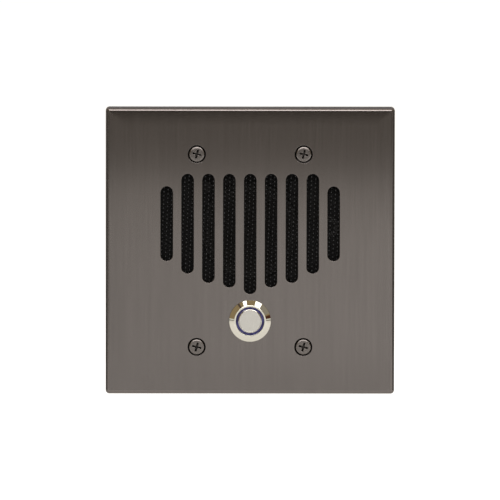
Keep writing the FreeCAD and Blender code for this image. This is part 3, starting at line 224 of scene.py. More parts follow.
def platedMetal(name, colour, shade, roughness, patch=0.7):
    # zinc, tin or nickel with clouds in the plating and small pits
    material, g = newFinish(name)
    place = g.point()
    cloud = g.noise(place, patch, 4.0, 0.6)
    pits = g.noise(place, 9.0, 2.0)
    tone = g.tint(g.span(cloud, 0.32, 0.68), colour, shade)
    rough = g.span(cloud, 0.3, 0.7, roughness * 0.75, roughness * 1.3)
    g.surface(tone, rough, (pits, 0.004), Metallic=1.0)
    return material


def mouldedPlastic(name, colour, shade, roughness, texture, depth, **fixed):
    # a moulding's fine spark texture, depth mm deep, with faint flow marks
    material, g = newFinish(name)
    place = g.point()
    spark = g.noise(place, texture, 2.0)
    flow = g.noise(g.point(scale=(0.06, 0.2, 0.12)), 1.0, 3.0)
    tone = g.tint(g.span(flow, 0.3, 0.7), colour, shade)
    rough = g.span(spark, 0.3, 0.7, roughness - 0.06, roughness + 0.06)
    g.surface(tone, rough, (spark, depth), **fixed)
    return material


def foam(name, colour, shade):
    # closed cells with skin between them
    material, g = newFinish(name)
    place = g.point()
    cells = g.cells(place, 3.2)
    pores = g.cells(place, 7.5)
    height = g.clamp(cells * 1.1) * 0.7 + g.clamp(pores * 1.4) * 0.3
    tone = g.tint(g.span(cells, 0.1, 0.6), shade, colour)
    g.surface(tone, 0.95, (height, 0.09))
    return material


def rubber(name, colour, shade):
    material, g = newFinish(name)
    dust = g.noise(g.point(), 1.6, 4.0, 0.65)
    skin = g.noise(g.point(), 12.0, 2.0)
    g.surface(g.tint(g.span(dust, 0.4, 0.75), colour, shade), 0.62 + dust * 0.16, (skin, 0.006))
    return material


def glintedBlack(name, colour, wearAndGlint, levels):
    # a black coat with a lighter painted highlight on the high points of the weave, which face the front,
    # between these y levels
    material, g = newFinish(name)
    uneven = g.span(g.noise(g.point(), 0.7, 2.0), 0.3, 0.65, 0.5, 1.0)
    # lighter towards the front of the weave: a painted highlight
    glintMask = g.span(g.axis(g.point(), "Y"), *levels) * uneven
    g.surface(g.tint(glintMask, colour, wearAndGlint), 0.3, (g.noise(g.point(), 6.0, 2.0), 0.003), Specular_IOR_Level=0.09)
    return material


addFinishes(brushedMetal, {"blackNickel": (
    (0.251, 0.228, 0.221), (0.191, 0.174, 0.168), 0.19, (13, 13, 0.03), 0.05, 0.001, 0.8)})
# a darker nickel for the walls of the screws' dimples and holes: painted shade
addFinishes(platedMetal, {"shadedHoleNickel": ((0.022, 0.020, 0.019), (0.012, 0.011, 0.011), 0.45)})
# the weave's front-most crowns get a lighter colour: a painted highlight
addFinishes(glintedBlack, {"meshBlack": ((0.002, 0.002, 0.002), (0.104, 0.107, 0.114), (-4.69, -4.77))})
print("plate and mesh finishes:", len(finishes))


# Shapes

weldReach = 0.0005 * mm  # vertices this close become one


def newObject(name, data):
    thing = bpy.data.objects.new(name, data)
    bpy.context.scene.collection.objects.link(thing)
    return thing


def boxOf(node):
    # the low and high corners of a CAD node's box, in mm
    return [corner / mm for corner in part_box(node)]


def cornersOf(node, radius):
    # the four places of a set of equal round pieces, from the set's box
    low, high = boxOf(node)
    return [(x, z) for x in (low.x + radius, high.x - radius) for z in (low.z + radius, high.z - radius)]


def welded(node):
    # a CAD node's shape as one closed mesh, with its flat areas joined up
    bm = bmesh.new()
    bm.from_mesh(frame["nodes"][node].data)
    bmesh.ops.remove_doubles(bm, verts=bm.verts, dist=weldReach)
    bmesh.ops.dissolve_limit(bm, angle_limit=math.radians(0.3), verts=bm.verts, edges=bm.edges)
    return bm


def sharpEdges(bm, degrees, chosen=None):
    # the edges that turn by more than that, where both faces meet
    limit = math.radians(degrees)
    edges = [e for e in bm.edges if e.is_manifold and e.calc_face_angle(0) > limit]
    return [e for e in edges if chosen is None or chosen((e.verts[0].co + e.verts[1].co) / 2 / mm)]


def roundEdges(bm, width, degrees=32, segments=2, chosen=None):
    # eases those edges by width in mm
    edges = sharpEdges(bm, degrees, chosen)
    bmesh.ops.bevel(bm, geom=edges, offset=width * mm, offset_type="OFFSET", affect="EDGES",
                    segments=segments, profile=0.5, material=-1, clamp_overlap=True)
    return bm


def lathe(profile, centre=(0, 0, 0), steps=96, angle=fullTurn, start=0.0, rounding=0.0):
    # a closed profile of (radius, y) in mm turned about an axis along Y through centre;
    # start is measured from +X towards +Z, and rounding eases the profile's corners
    bm = bmesh.new()
    verts = [bm.verts.new((r * mm, y * mm, 0)) for r, y in profile]
    for first, second in zip(verts, verts[1:] + verts[:1]):
        bm.edges.new((first, second))
    if rounding:
        corners = [v for v in verts if v.co.x > 0 and len(v.link_edges) == 2]
        bmesh.ops.bevel(bm, geom=corners, offset=rounding * mm, affect="VERTICES", segments=3,
                        profile=0.5, material=-1, clamp_overlap=True)
    whole = abs(angle - fullTurn) < 1e-6
    bmesh.ops.rotate(bm, cent=(0, 0, 0), matrix=Matrix.Rotation(-start, 3, "Y"), verts=bm.verts)
    bmesh.ops.spin(bm, geom=bm.verts[:] + bm.edges[:], cent=(0, 0, 0), axis=(0, -1, 0), dvec=(0, 0, 0),
                   angle=angle, steps=steps, use_merge=whole)
    bmesh.ops.remove_doubles(bm, verts=bm.verts, dist=weldReach)
    bmesh.ops.recalc_face_normals(bm, faces=bm.faces)
    bmesh.ops.translate(bm, vec=Vector(centre) * mm, verts=bm.verts)
    return bm


def helix(profile, pitch, turns, centre=(0, 0, 0), steps=24):
    # a closed profile of (radius, y) in mm carried round the Y axis, rising by pitch each turn
    bm = bmesh.new()
    verts = [bm.verts.new((r * mm, y * mm, 0)) for r, y in profile]
    section = bm.faces.new(verts)
    bmesh.ops.spin(bm, geom=[section], cent=(0, 0, 0), axis=(0, -1, 0), dvec=(0, pitch * mm / steps, 0),
                   angle=fullTurn * turns, steps=round(steps * turns), use_merge=False)
    bmesh.ops.recalc_face_normals(bm, faces=bm.faces)
    bmesh.ops.translate(bm, vec=Vector(centre) * mm, verts=bm.verts)
    return bm


def box(low, high):
    # a block between two corners, in mm
    bm = bmesh.new()
    size = Vector(high) - Vector(low)
    middle = (Vector(high) + Vector(low)) / 2
    shape = Matrix.Translation(middle * mm) @ Matrix.Diagonal((*size * mm, 1))
    bmesh.ops.create_cube(bm, size=1.0, matrix=shape)
    return bm


def sliced(bm, place, normal, drop=False):
    # cuts the faces along a plane through place, in metres; drop takes away what lies past it
    bmesh.ops.bisect_plane(bm, geom=bm.verts[:] + bm.edges[:] + bm.faces[:], plane_co=place,
                           plane_no=normal, clear_outer=drop)


def closed(bm):
    # fills the open ends of cut shapes
    ends = [e for e in bm.edges if e.is_boundary]
    bmesh.ops.holes_fill(bm, edges=ends, sides=0)


def rod(centre, radius, y0, y1, segments=24, tip=None):
    # a round bar along Y from y0 to y1; tip is the radius at y1
    bm = bmesh.new()
    turn = Matrix.Rotation(math.radians(-90), 4, "X")
    place = Matrix.Translation(Vector((centre[0], (y0 + y1) / 2, centre[1])) * mm)
    bmesh.ops.create_cone(bm, cap_ends=True, segments=segments, radius1=radius * mm,
                          radius2=(radius if tip is None else tip) * mm, depth=(y1 - y0) * mm,
                          matrix=place @ turn)
    return bm


def joined(*parts):
    # several meshes as one; a part may be (mesh, matrix)
    whole = bmesh.new()
    used = []
    for part in parts:
        bm, matrix = part if isinstance(part, tuple) else (part, None)
        shape = bpy.data.meshes.new("part")
        bm.to_mesh(shape)
        if matrix:
            shape.transform(matrix)
            if matrix.determinant() < 0:
                shape.flip_normals()
        whole.from_mesh(shape)
        bpy.data.meshes.remove(shape)
        if bm not in used:
            used.append(bm)
    for bm in used:
        bm.free()
    return whole


def atEach(places, bm):
    # copies of a mesh at (x, z) places, as one mesh
    return joined(*[(bm, Matrix.Translation((x * mm, 0, z * mm))) for x, z in places])


def cut(bm, tool):
    # bm with the tool's shape taken out of it
    objects = []
    for name, shape in (("blank", bm), ("cutter", tool)):
        mesh = bpy.data.meshes.new(name)
        shape.to_mesh(mesh)
        shape.free()
        objects.append(newObject(name, mesh))
    blank, cutter = objects
    carve = blank.modifiers.new("carve", "BOOLEAN")
    carve.operation = "DIFFERENCE"
    carve.solver = "EXACT"
    carve.object = cutter
    result = bmesh.new()
    result.from_object(blank, bpy.context.evaluated_depsgraph_get())
    for thing in objects:
        mesh = thing.data
        bpy.data.objects.remove(thing)
        bpy.data.meshes.remove(mesh)
    return result


def addPiece(name, bm, finish, node=None, body=None, sharp=38, weighted=False):
    # the mesh becomes a piece of the object; it stands for node if that is named
    home = frame["nodes"][node] if node else None
    for face in bm.faces:
        face.smooth = True
    for edge in bm.edges:
        edge.smooth = edge.is_manifold and edge.calc_face_angle(0) < math.radians(sharp)
    mesh = bpy.data.meshes.new(name)
    bm.to_mesh(mesh)
    bm.free()
    for each in finish if isinstance(finish, list) else [finish]:
        mesh.materials.append(finishes[each])
    piece = newObject(name, mesh)
    if weighted:
        modifier = piece.modifiers.new("weighted", "WEIGHTED_NORMAL")
        modifier.keep_sharp = True
    if body != "blended":
        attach(piece, body or (home["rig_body"] if home else "root"))
    if node:
        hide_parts(node)
    return piece


def edged(node, width, finish):
    # a CAD node with its sharp edges eased
    return addPiece(node + "_eased", roundEdges(welded(node), width), finish, node, weighted=True)


def bead(place, radius, squash, index):
    # a drop of solder: a squashed ball, in one of its piece's materials
    bm = bmesh.new()
    shape = Matrix.Translation(Vector(place) * mm) @ Matrix.Diagonal((*squash, 1))
    bmesh.ops.create_uvsphere(bm, u_segments=20, v_segments=12, radius=radius * mm, matrix=shape)
    return marked(bm, index)


def paint(piece, index, chosen):
    # gives the faces whose middle, in mm, is chosen another of the piece's materials
    for face in piece.data.polygons:
        if chosen(face.center / mm, face.normal):
            face.material_index = index


def marked(bm, index):
    # all of a mesh in one of its piece's materials
    for face in bm.faces:
        face.material_index = index
    return bm


def pipe(points, radius, sides=12):
    # a round wire along one smooth curve through the route's bends, in mm
    curve = bpy.data.curves.new("route", "CURVE")
    curve.dimensions = "3D"
    spline = curve.splines.new("NURBS")
    spline.points.add(len(points) - 1)
    for point, place in zip(spline.points, points):
        point.co = (*Vector(place) * mm, 1)
    spline.order_u = 3
    spline.use_endpoint_u = True
    spline.resolution_u = 10
    curve.bevel_depth = radius * mm
    curve.bevel_resolution = sides // 4
    curve.use_fill_caps = True
    route = newObject("route", curve)
    mesh = bpy.data.meshes.new_from_object(route.evaluated_get(bpy.context.evaluated_depsgraph_get()))
    bm = bmesh.new()
    bm.from_mesh(mesh)
    bpy.data.objects.remove(route)
    bpy.data.curves.remove(curve)
    bpy.data.meshes.remove(mesh)
    bmesh.ops.remove_doubles(bm, verts=bm.verts, dist=weldReach)
    bmesh.ops.recalc_face_normals(bm, faces=bm.faces)
    return bm


def towards(start, end, distance):
    # the point that lies this far from start on the way to end
    return tuple(Vector(start) + (Vector(end) - Vector(start)).normalized() * distance)


def insulated(points, radius, core, bare):
    # a stranded wire: coating in the first material, its bare tinned ends in the second
    ends = towards(points[0], points[1], bare[0]), towards(points[-1], points[-2], bare[1])
    coat = [ends[0]] + points[1:-1] + [ends[1]]
    return [marked(pipe(coat, radius), 0), marked(pipe(points, core, 8), 1)]


# Camera, floor and light

view = {
    "place": (-27.9, -2993.0, 215.0),
    "pitch": -4.111,
    "yaw": -0.534,
    "roll": -0.104,
    "lens": 499.9,
    "sensor": 36.0,
}


def addCamera():
    data = bpy.data.cameras.new("camera")
    data.lens = view["lens"]
    data.sensor_width = view["sensor"]
    data.clip_start = 0.1
    data.clip_end = 30
    camera = newObject("camera", data)
    yaw = Matrix.Rotation(math.radians(view["yaw"]), 4, "Z")
    pitch = Matrix.Rotation(math.radians(view["pitch"]), 4, "X")
    roll = Matrix.Rotation(math.radians(view["roll"]), 4, "Y")
    level = Matrix.Rotation(math.radians(90), 4, "X")
    camera.matrix_world = Matrix.Translation(Vector(view["place"]) * mm) @ yaw @ pitch @ roll @ level
    bpy.context.scene.camera = camera


stage = {
    "height": -150,  # the floor lies this far below the screws' centre
    "reach": 9000,
    "colour": (0.88, 0.88, 0.87),
    "dull": (0.2, 0.2, 0.195),  # a patch in front of it
    "ownWhite": 0.7,  # the floor's white that needs no light, as the camera sees it
    "mirrorWhite": 0.11,  # and as polished parts see it near the object
    "mirrorFade": (300, 600),  # which fades between these distances in front of it, in mm
    "mirrorSides": (6000, 3000),
    "fan": 0.8,  # those distances start this much further back for each mm to the side
    "dullFades": ((300, 600), (3200, 1700)),
    "besideFades": ((-450, -800), (600, 1000), (1500, 1000)),  # another, to each side
    "softened": {"strip": 0.07, "boxLeft": 0.3, "boxRight": 0.3},  # how much of a lamp matt surfaces get
    "roomDark": (0.25, 0.185, 0.10),
    "roomPale": (0.60, 0.59, 0.58),
    "roomFront": (0.112, 0.099, 0.085),
    "roomSide": (0.80, 0.79, 0.72),  # a low pale band to each side
    "sideFades": ((0.04, 0.02), (0.80, 0.85), (0.985, 0.97)),  # upwards, and at its two ends
    "paleFades": ((0.84, 0.99), (-0.1, 0.5)),  # upwards, and towards the back
    "frontFade": (-0.86, -0.97),
    "patchFades": ((-0.3, -0.4), (-0.8, -0.7)),
    "patchEdge": 0.03,
    "roomPatches": (  # between two angles from straight up
        (-0.69, -0.60, (0.08, 0.055, 0.042)),
        (0.74, 1.26, (0.258, 0.232, 0.19)),
        (1.37, 1.52, (0.07, 0.026, 0.014)),
    ),
}


def addStage():
    bm = bmesh.new()
    bmesh.ops.create_grid(bm, x_segments=1, y_segments=1, size=stage["reach"] * mm,
                          matrix=Matrix.Translation((0, 0, stage["height"] * mm)))
    mesh = bpy.data.meshes.new("floor")
    bm.to_mesh(mesh)
    bm.free()
    floor = newObject("floor", mesh)
    material, g = newFinish("paleFloor")
    seen = g.add("LightPath", out=0)
    mirrored = g.add("LightPath", out=3)
    through = g.add("LightPath", out=6)
    place = g.point()
    aside = g.sum("ABSOLUTE", g.axis(place, "X"))
    ahead = g.axis(place, "Y") * -1.0 - aside * stage["fan"]
    near = g.span(ahead, *stage["mirrorFade"], stage["mirrorWhite"], 0.0)
    near = near * g.span(aside, *stage["mirrorSides"])
    start, end = stage["dullFades"]
    dull = g.span(ahead, *start) * g.span(ahead, *end)
    start, inner, end = stage["besideFades"]
    beside = g.span(ahead, *start) * g.span(aside, *inner) * g.span(g.axis(place, "Y"), *end)
    near = near * (1.0 - beside)
    dull = g.clamp(dull + beside)
    lit = g.add("BsdfDiffuse", None, {"Color": g.tint(dull, stage["colour"], stage["dull"])})
    share = g.clamp(seen + through) * stage["ownWhite"] + mirrored * near
    white = g.add("Emission", None, {"Color": (1, 1, 1, 1), "Strength": share})
    top = g.add("AddShader", None, {0: lit, 1: white})
    under = g.add("NewGeometry", out=6)
    clear = g.add("BsdfTransparent")
    both = g.add("MixShader", None, {0: under, 1: top, 2: clear})
    g.add("OutputMaterial", None, {"Surface": both})
    mesh.materials.append(material)


def addWorld():
    world = bpy.data.worlds.new("room")
    bpy.context.scene.world = world
    g = Graph(world)
    direction = g.add("TexCoord", out=0)
    up = g.axis(direction, "Z")
    back = g.axis(direction, "Y")
    sides = g.sum("ABSOLUTE", g.axis(direction, "X"))
    height, inner, outer = stage["sideFades"]
    low = g.span(up, *height) * g.span(sides, *inner) * g.span(sides, *outer)
    above, behind = stage["paleFades"]
    pale = g.clamp(g.span(up, *above) + g.span(back, *behind))
    ahead = g.span(back, *stage["frontFade"])
    dark = g.tint(ahead, stage["roomDark"], stage["roomFront"])
    around = g.sum("ARCTAN2", g.axis(direction, "X"), up)
    near, far = stage["patchFades"]
    reach = g.span(back, *near) * g.span(back, *far)
    edge = stage["patchEdge"]
    for left, right, colour in stage["roomPatches"]:
        patch = g.span(around, left - edge, left) * g.span(around, right + edge, right)
        dark = g.tint(patch * reach, dark, colour)
    room = g.tint(low, g.tint(pale, dark, stage["roomPale"]), stage["roomSide"])
    seen = g.add("LightPath", out=0)
    colour = g.tint(seen, room, (1, 1, 1))
    shader = g.add("Background", None, {"Color": colour, "Strength": 1.0})
    g.add("OutputWorld", None, {"Surface": shader})


# each lamp: place and target in mm, size in mm, radiance where 1 is white, colour
lamps = {
    "frontHigh": ((90, -450, -256), (90, 0, -256), (760, 520), 0.46, (1.0, 0.985, 0.94)),
    "frontLow": ((90, -450, -274), (90, 0, -274), (760, 520), 0.54, (1.0, 0.985, 0.94)),
    "frontSide": ((180, -456, -55), (180, 0, -55), (440, 70), 0.15, (1.0, 0.975, 0.95)),
    "strip": ((40, -1470, 750), (0, 0, 0), (1300, 760), 3.7, (1.0, 0.97, 0.95)),
    "boxLeft": ((-285, -640, 940), (0, 0, -30), (178, 340), 2.4, (1.0, 1.0, 1.0)),
    "boxRight": ((490, -640, 845), (0, 0, -30), (260, 340), 2.4, (1.0, 1.0, 1.0)),
    "backLeft": ((-1300, 1300, 900), (0, 0, 0), (900, 900), 1.9, (1.0, 0.99, 0.98)),
    "backRight": ((1400, 1100, 700), (0, 0, 0), (700, 900), 1.4, (0.98, 0.99, 1.0)),
}


def addLamps():
    for name, (place, target, size, radiance, colour) in lamps.items():
        data = bpy.data.lights.new(name, "AREA")
        data.shape = "RECTANGLE"
        data.size = size[0] * mm
        data.size_y = size[1] * mm
        data.energy = radiance * math.pi * size[0] * size[1] * mm * mm
        data.color = colour
        lamp = newObject(name, data)
        lamp.location = Vector(place) * mm
        lamp.rotation_euler = (Vector(target) - Vector(place)).to_track_quat("-Z", "Y").to_euler()
        lamp.visible_camera = False
        data.diffuse_factor = stage["softened"].get(name, 1.0)


bpy.context.scene.view_settings.view_transform = "Standard"
addCamera()
addStage()
addWorld()
addLamps()
print("stage: camera, floor, world,", len(lamps), "lamps")


# Faceplate

plate = {
    "rim": 0.22,  # rounding of every slot and hole
    "rimLevel": -5.9,  # on the sheet's front, and this far out from its middle
    "rimReach": 50,
    "crownReach": 9.0,  # the sheet starts to fall away this far from its edges
    "crownDrop": 0.16,
    "edgeReach": 2.1,  # and falls faster from here
    "edgeDrop": 0.35,
    "cuts": (1.6, 1.8, 2.0, 2.5, 3.2, 4.2, 5.4, 6.8, 8.2),
    "sheetBack": -4.7,
    "screwX": 23.02,
    "screwZ": 41.67,
    "dimple": 3.9,  # the screws' dimples and holes carry painted shade, a darker nickel, this far from their middles
    "dimpleLevel": -5.99,
}


def addFaceplate():
    low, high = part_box("faceplate")
    bm = welded("faceplate")
    roundEdges(bm, plate["rim"], 40, 3, lambda p: p.y < plate["rimLevel"]
               and abs(p.x) < plate["rimReach"] and abs(p.z) < plate["rimReach"])
    for axis, normal in ((0, (1, 0, 0)), (2, (0, 0, 1))):
        for side in (low[axis], high[axis]):
            for depth in plate["cuts"]:
                place = [0, 0, 0]
                place[axis] = side - math.copysign(depth * mm, side)
                sliced(bm, place, normal)
    for v in bm.verts:
        inside = min(high.x - abs(v.co.x), high.z - v.co.z) / mm
        if v.co.y < plate["sheetBack"] * mm and inside < plate["crownReach"]:
            v.co.y += plate["crownDrop"] * mm * (1 - inside / plate["crownReach"]) ** 2
            v.co.y += plate["edgeDrop"] * mm * max(0, 1 - inside / plate["edgeReach"]) ** 2
    piece = addPiece("faceplate_finished", bm, ["blackNickel", "shadedHoleNickel"], "faceplate",
                     sharp=50, weighted=True)
    # paints the dimple and hole walls round the screws darker: painted shade
    paint(piece, 1, lambda p, n: p.y > plate["dimpleLevel"] and abs(n.y) < 0.99
          and abs(abs(p.x) - plate["screwX"]) < plate["dimple"]
          and abs(abs(p.z) - plate["screwZ"]) < plate["dimple"])


addFaceplate()


# Woven mesh behind the slots

weave = {
    "upPitch": 1.76,
    "acrossPitch": 0.9,
    "turn": 2.3,  # the cloth sits a little askew
    "upWire": (0.3, 0.15),  # half its width and half its thickness
    "upSwing": 0.14,
    "acrossWire": (0.13, 0.12),
    "acrossSwing": 0.07,
    "sides": 6,
    "upSteps": 3,  # lengths of wire from one crossing to the next
    "acrossSteps": 2,
    "spare": 6,  # wires past the cloth's cut edges, which its turn brings in
}


def waveWire(length, crossings, start, section, swing, steps):
    # one rolled wire along X that goes over and under at each crossing
    wide, thick = section
    bm = bmesh.new()
    lie = Matrix.Rotation(math.radians(90), 4, "Y")
    bmesh.ops.create_cone(bm, cap_ends=True, segments=weave["sides"], radius1=thick * mm,
                          radius2=thick * mm, depth=length * mm, matrix=lie)
    long = [e for e in bm.edges if abs(e.verts[0].co.x - e.verts[1].co.x) > length * mm / 2]
    pitch = length / crossings
    bmesh.ops.subdivide_edges(bm, edges=long, cuts=crossings * steps - 1, use_grid_fill=True)
    for v in bm.verts:
        v.co.z *= wide / thick
        v.co.y += swing * mm * math.cos(math.pi * (v.co.x / mm / pitch + start))
    return bm


def addWeave():
    low, high = boxOf("grille_mesh")
    middle = (low + high) / 2
    across = weave["spare"] + 2 * math.ceil((high.x - low.x) / weave["upPitch"] / 2)
    rows = weave["spare"] + 2 * math.ceil((high.z - low.z) / weave["acrossPitch"] / 2)
    width = across * weave["upPitch"]
    height = rows * weave["acrossPitch"]
    stand = Matrix.Rotation(math.radians(-90), 4, "Y")
    parts = []
    for lift in (0, 1):
        weft = waveWire(width, across, lift, weave["acrossWire"], weave["acrossSwing"],
                        weave["acrossSteps"])
        for row in range(lift, rows, 2):
            z = (row + 0.5) * weave["acrossPitch"] - height / 2
            parts.append((weft, Matrix.Translation((0, 0, z * mm))))
        warp = waveWire(height, rows, lift + 1, weave["upWire"], weave["upSwing"], weave["upSteps"])
        for column in range(lift, across, 2):
            x = (column + 0.5) * weave["upPitch"] - width / 2
            parts.append((warp, Matrix.Translation((x * mm, 0, 0)) @ stand))
    bm = joined(*parts)
    bmesh.ops.rotate(bm, cent=(0, 0, 0), verts=bm.verts,
                     matrix=Matrix.Rotation(math.radians(weave["turn"]), 3, "Y"))
    bmesh.ops.translate(bm, vec=middle * mm, verts=bm.verts)
    for place, normal in ((low, (-1, 0, 0)), (high, (1, 0, 0)), (low, (0, 0, -1)), (high, (0, 0, 1))):
        sliced(bm, place * mm, normal, drop=True)
    closed(bm)
    addPiece("grille_mesh_woven", bm, "meshBlack", "grille_mesh", sharp=80)


addWeave()
print("front: plate and mesh")


# Push button

button = {
    "centre": (0, 0, -30.35),
    "steps": 128,
    "lip": 6.82,  # the bevel's inner edge
    "bevelEnd": -7.1,
    "seat": -6.4,
    "barrel": 8.0,
    "bore": 7.0,
    "mouth": 6.16,
    "shoulder": -5.0,  # where the mouth opens into the bore, and the thread starts
    "threadPitch": 1.0,
    "threadDepth": 0.6,
    "capFlat": 4.56,  # the cap's satin disc ends here
    "grooveWidth": 0.16,
    "grooveDepth": 0.07,
    "capShy": 0.13,  # the cap clears the ring by this much more than it has to
    "capFall": 0.34,  # how far the cap's bright rim curves back
    "capWall": 0.8,
    "ringGap": 0.04,
}

addFinishes(turnedMetal, {
    "bezelChrome": ((0.90, 0.885, 0.80), (0.84, 0.82, 0.74), 0.045, button["centre"], 0.09, 0.0004),
    "capBright": ((0.90, 0.885, 0.82), (0.84, 0.82, 0.76), 0.07, button["centre"], 0.05, 0.0006),
})
addFinishes(brushedMetal, {"capSatin": (
    (0.757, 0.745, 0.712), (0.695, 0.682, 0.645), 0.24, (9, 9, 0.5), 0.10, 0.002)})


def thread(outer, depth, pitch, start, end, centre=(0, 0, 0), steps=28):
    # a V ridge round the Y axis that sinks into the bar at both ends
    low = outer - depth
    flat = pitch * 0.08
    ridge = [(low - 0.05, 0), (outer, pitch / 2 - flat), (outer, pitch / 2 + flat), (low - 0.05, pitch)]
    bm = helix(ridge, pitch, (end - start) / pitch - 1, (0, start, 0), steps)
    for v in bm.verts:
        away = min(v.co.y / mm - start, end - v.co.y / mm) / pitch
        radius = math.hypot(v.co.x, v.co.z)
        sunk = (low - 0.06) * mm
        if away < 1 and radius > sunk:
            keep = (sunk + (radius - sunk) * max(away, 0)) / radius
            v.co.x *= keep
            v.co.z *= keep
    bmesh.ops.translate(bm, vec=Vector(centre) * mm, verts=bm.verts)
    return bm


def arc(start, end, bulge, count=6):
    # points between two (radius, y) points that bow outwards by bulge
    a, b = Vector(start), Vector(end)
    side = Vector((b - a).orthogonal()).normalized()
    return [tuple(a.lerp(b, i / count) + side * bulge * math.sin(math.pi * i / count))
            for i in range(count + 1)]


def addButton():
    low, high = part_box("button_housing")
    front, back, rim = low.y / mm, high.y / mm, high.x / mm
    seat, barrel, mouth, shoulder = (button[part] for part in ("seat", "barrel", "mouth", "shoulder"))
    bore, depth = button["bore"], button["threadDepth"]
    root = barrel - depth
    shell = [(mouth, front), (button["lip"], front), (rim, button["bevelEnd"]), (rim, seat), (root, seat),
             (root, back), (bore, back), (bore, shoulder), (mouth, shoulder)]
    neck = [(root - 0.1, seat), (barrel, seat), (barrel, shoulder), (root - 0.1, shoulder + 0.6)]
    housing = joined(
        lathe(shell, button["centre"], button["steps"], rounding=0.1),
        lathe(neck, button["centre"], button["steps"]),
        thread(barrel, depth, button["threadPitch"], shoulder - 0.3, back - 0.3, button["centre"], 64))
    addPiece("button_housing_finished", housing, "bezelChrome", "button_housing", sharp=30, weighted=True)

    low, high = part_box("button_cap")
    front, back = low.y / mm, high.y / mm
    radius = high.x / mm - button["capShy"]
    disc, groove, deep = button["capFlat"], button["grooveWidth"], button["grooveDepth"]
    profile = [(0, front + 0.01), (disc, front), (disc + groove * 0.35, front + deep),
               (disc + groove * 0.65, front + deep)]
    profile += arc((disc + groove, front), (radius, front + button["capFall"]), 0.09)
    profile += [(radius, back), (radius - button["capWall"], back), (0, back)]
    cap = lathe(profile, button["centre"], button["steps"])
    piece = addPiece("button_cap_finished", cap, ["capSatin", "capBright"], "button_cap", sharp=22)
    centre = Vector((0, button["centre"][2]))
    paint(piece, 1, lambda p, n: (Vector((p.x, p.z)) - centre).length > disc + groove * 0.5)

    low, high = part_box("light_ring")
    face, foot = low.y / mm, high.y / mm
    inner, outer, wide = radius + button["ringGap"], mouth - 0.03, high.x / mm
    ring = [(inner, face), (outer, face), (outer, shoulder), (wide, shoulder), (wide, foot), (inner, foot)]
    addPiece("light_ring_finished", lathe(ring, button["centre"], button["steps"], rounding=0.12),
             "ringIndigo", "light_ring", weighted=True)


def indigoRing():
    # clear tinted plastic, with the dim glow of the lamps under it painted into its colour and painted shade
    # in the gaps between them
    material, g = newFinish("ringIndigo")
    lampsBelow = g.noise(g.point(button["centre"], scale=(0.55, 0.2, 0.55)), 1.0, 1.0)
    cloud = g.noise(g.point(scale=(1.6, 1, 1.6)), 1.0, 2.0)
    # the lamps' glow, mixed with a random cloud, painted into the base colour
    paintedGlow = g.clamp(g.span(lampsBelow, 0.38, 0.66) * 0.7 + g.span(cloud, 0.35, 0.7) * 0.3)
    tone = g.tint(paintedGlow, (0.018, 0.014, 0.075), (0.065, 0.066, 0.22))
    g.surface(tone, 0.2 + cloud * 0.12, Specular_IOR_Level=0.35)
    return material


finishes["ringIndigo"] = indigoRing()
addButton()
print("button: housing, ring, cap")


# Faceplate screws

# painted shade for the inside of the screws' cross recess
addFinishes(platedMetal, {"recessPaintedShade": ((0.060, 0.055, 0.052), (0.032, 0.029, 0.028), 0.4)})
addFinishes(turnedMetal, {"screwNickel": (
    (0.215, 0.197, 0.190), (0.175, 0.160, 0.152), 0.26, (0, 0, 0), 0.4, 0.0)})

plateScrew = {
    "steps": 72,
    "crown": (  # shares of the head's radius and of its rise
        (0, 0), (0.4, 0.012), (0.65, 0.035), (0.8, 0.07), (0.89, 0.12), (0.945, 0.2), (0.975, 0.34),
        (0.993, 0.6), (1, 0.9)),
    "head": 3.34,
    "seat": -5.48,
    "neck": 1.45,
    "neckStart": -3.36,
    "neckEnd": -2.6,
    "shank": 1.75,
    "threadPitch": 0.794,
    "threadDepth": 0.42,
    "recessSpan": (4.0, 2.0),  # at its mouth and at its floor
    "recessWidth": (0.82, 0.5),
    "recessDepth": 1.7,
    "middle": (0.86, 0.6),
    "turn": 15,
    "shadeReach": 2.3,  # the recess is painted with shade this far from the middle, below its eased mouth
    "shadeTop": 0.16,
}


def taperedBlock(span, width, top, depth):
    # a bar whose section at y = top is span by width and narrows to its floor
    bm = box((-span[0] / 2, top - 0.6, -width[0] / 2), (span[0] / 2, top + depth, width[0] / 2))
    for v in bm.verts:
        share = (v.co.y / mm - top) / depth
        v.co.x *= 1 + (span[1] / span[0] - 1) * share
        v.co.z *= 1 + (width[1] / width[0] - 1) * share
    return bm


def crossRecess(bm, top, span, width, depth, middle, turn):
    # cuts a tapered cross and its round middle into a head whose crown is at y = top
    quarter = Matrix.Rotation(math.radians(90), 4, "Y")
    whole = Matrix.Rotation(math.radians(turn), 4, "Y")
    for side in (whole, whole @ quarter):
        bar = taperedBlock(span, width, top, depth)
        bmesh.ops.transform(bar, matrix=side, verts=bar.verts)
        bm = cut(bm, bar)
    core = rod((0, 0), middle[0], top - 0.6, top + depth * 1.12, 8, middle[1])
    bmesh.ops.rotate(core, cent=(0, 0, 0), verts=core.verts,
                     matrix=Matrix.Rotation(math.radians(turn + 22.5), 3, "Y"))
    return cut(bm, core)


def softenMouth(bm, top, reach, width):
    # eases the edges that a recess left on a head's crown
    mouth = sharpEdges(bm, 28, lambda p: p.y < top + 0.45 and math.hypot(p.x, p.z) < reach)
    bmesh.ops.bevel(bm, geom=mouth, offset=width * mm, offset_type="OFFSET", affect="EDGES", segments=2,
                    profile=0.5, material=-1, clamp_overlap=True)


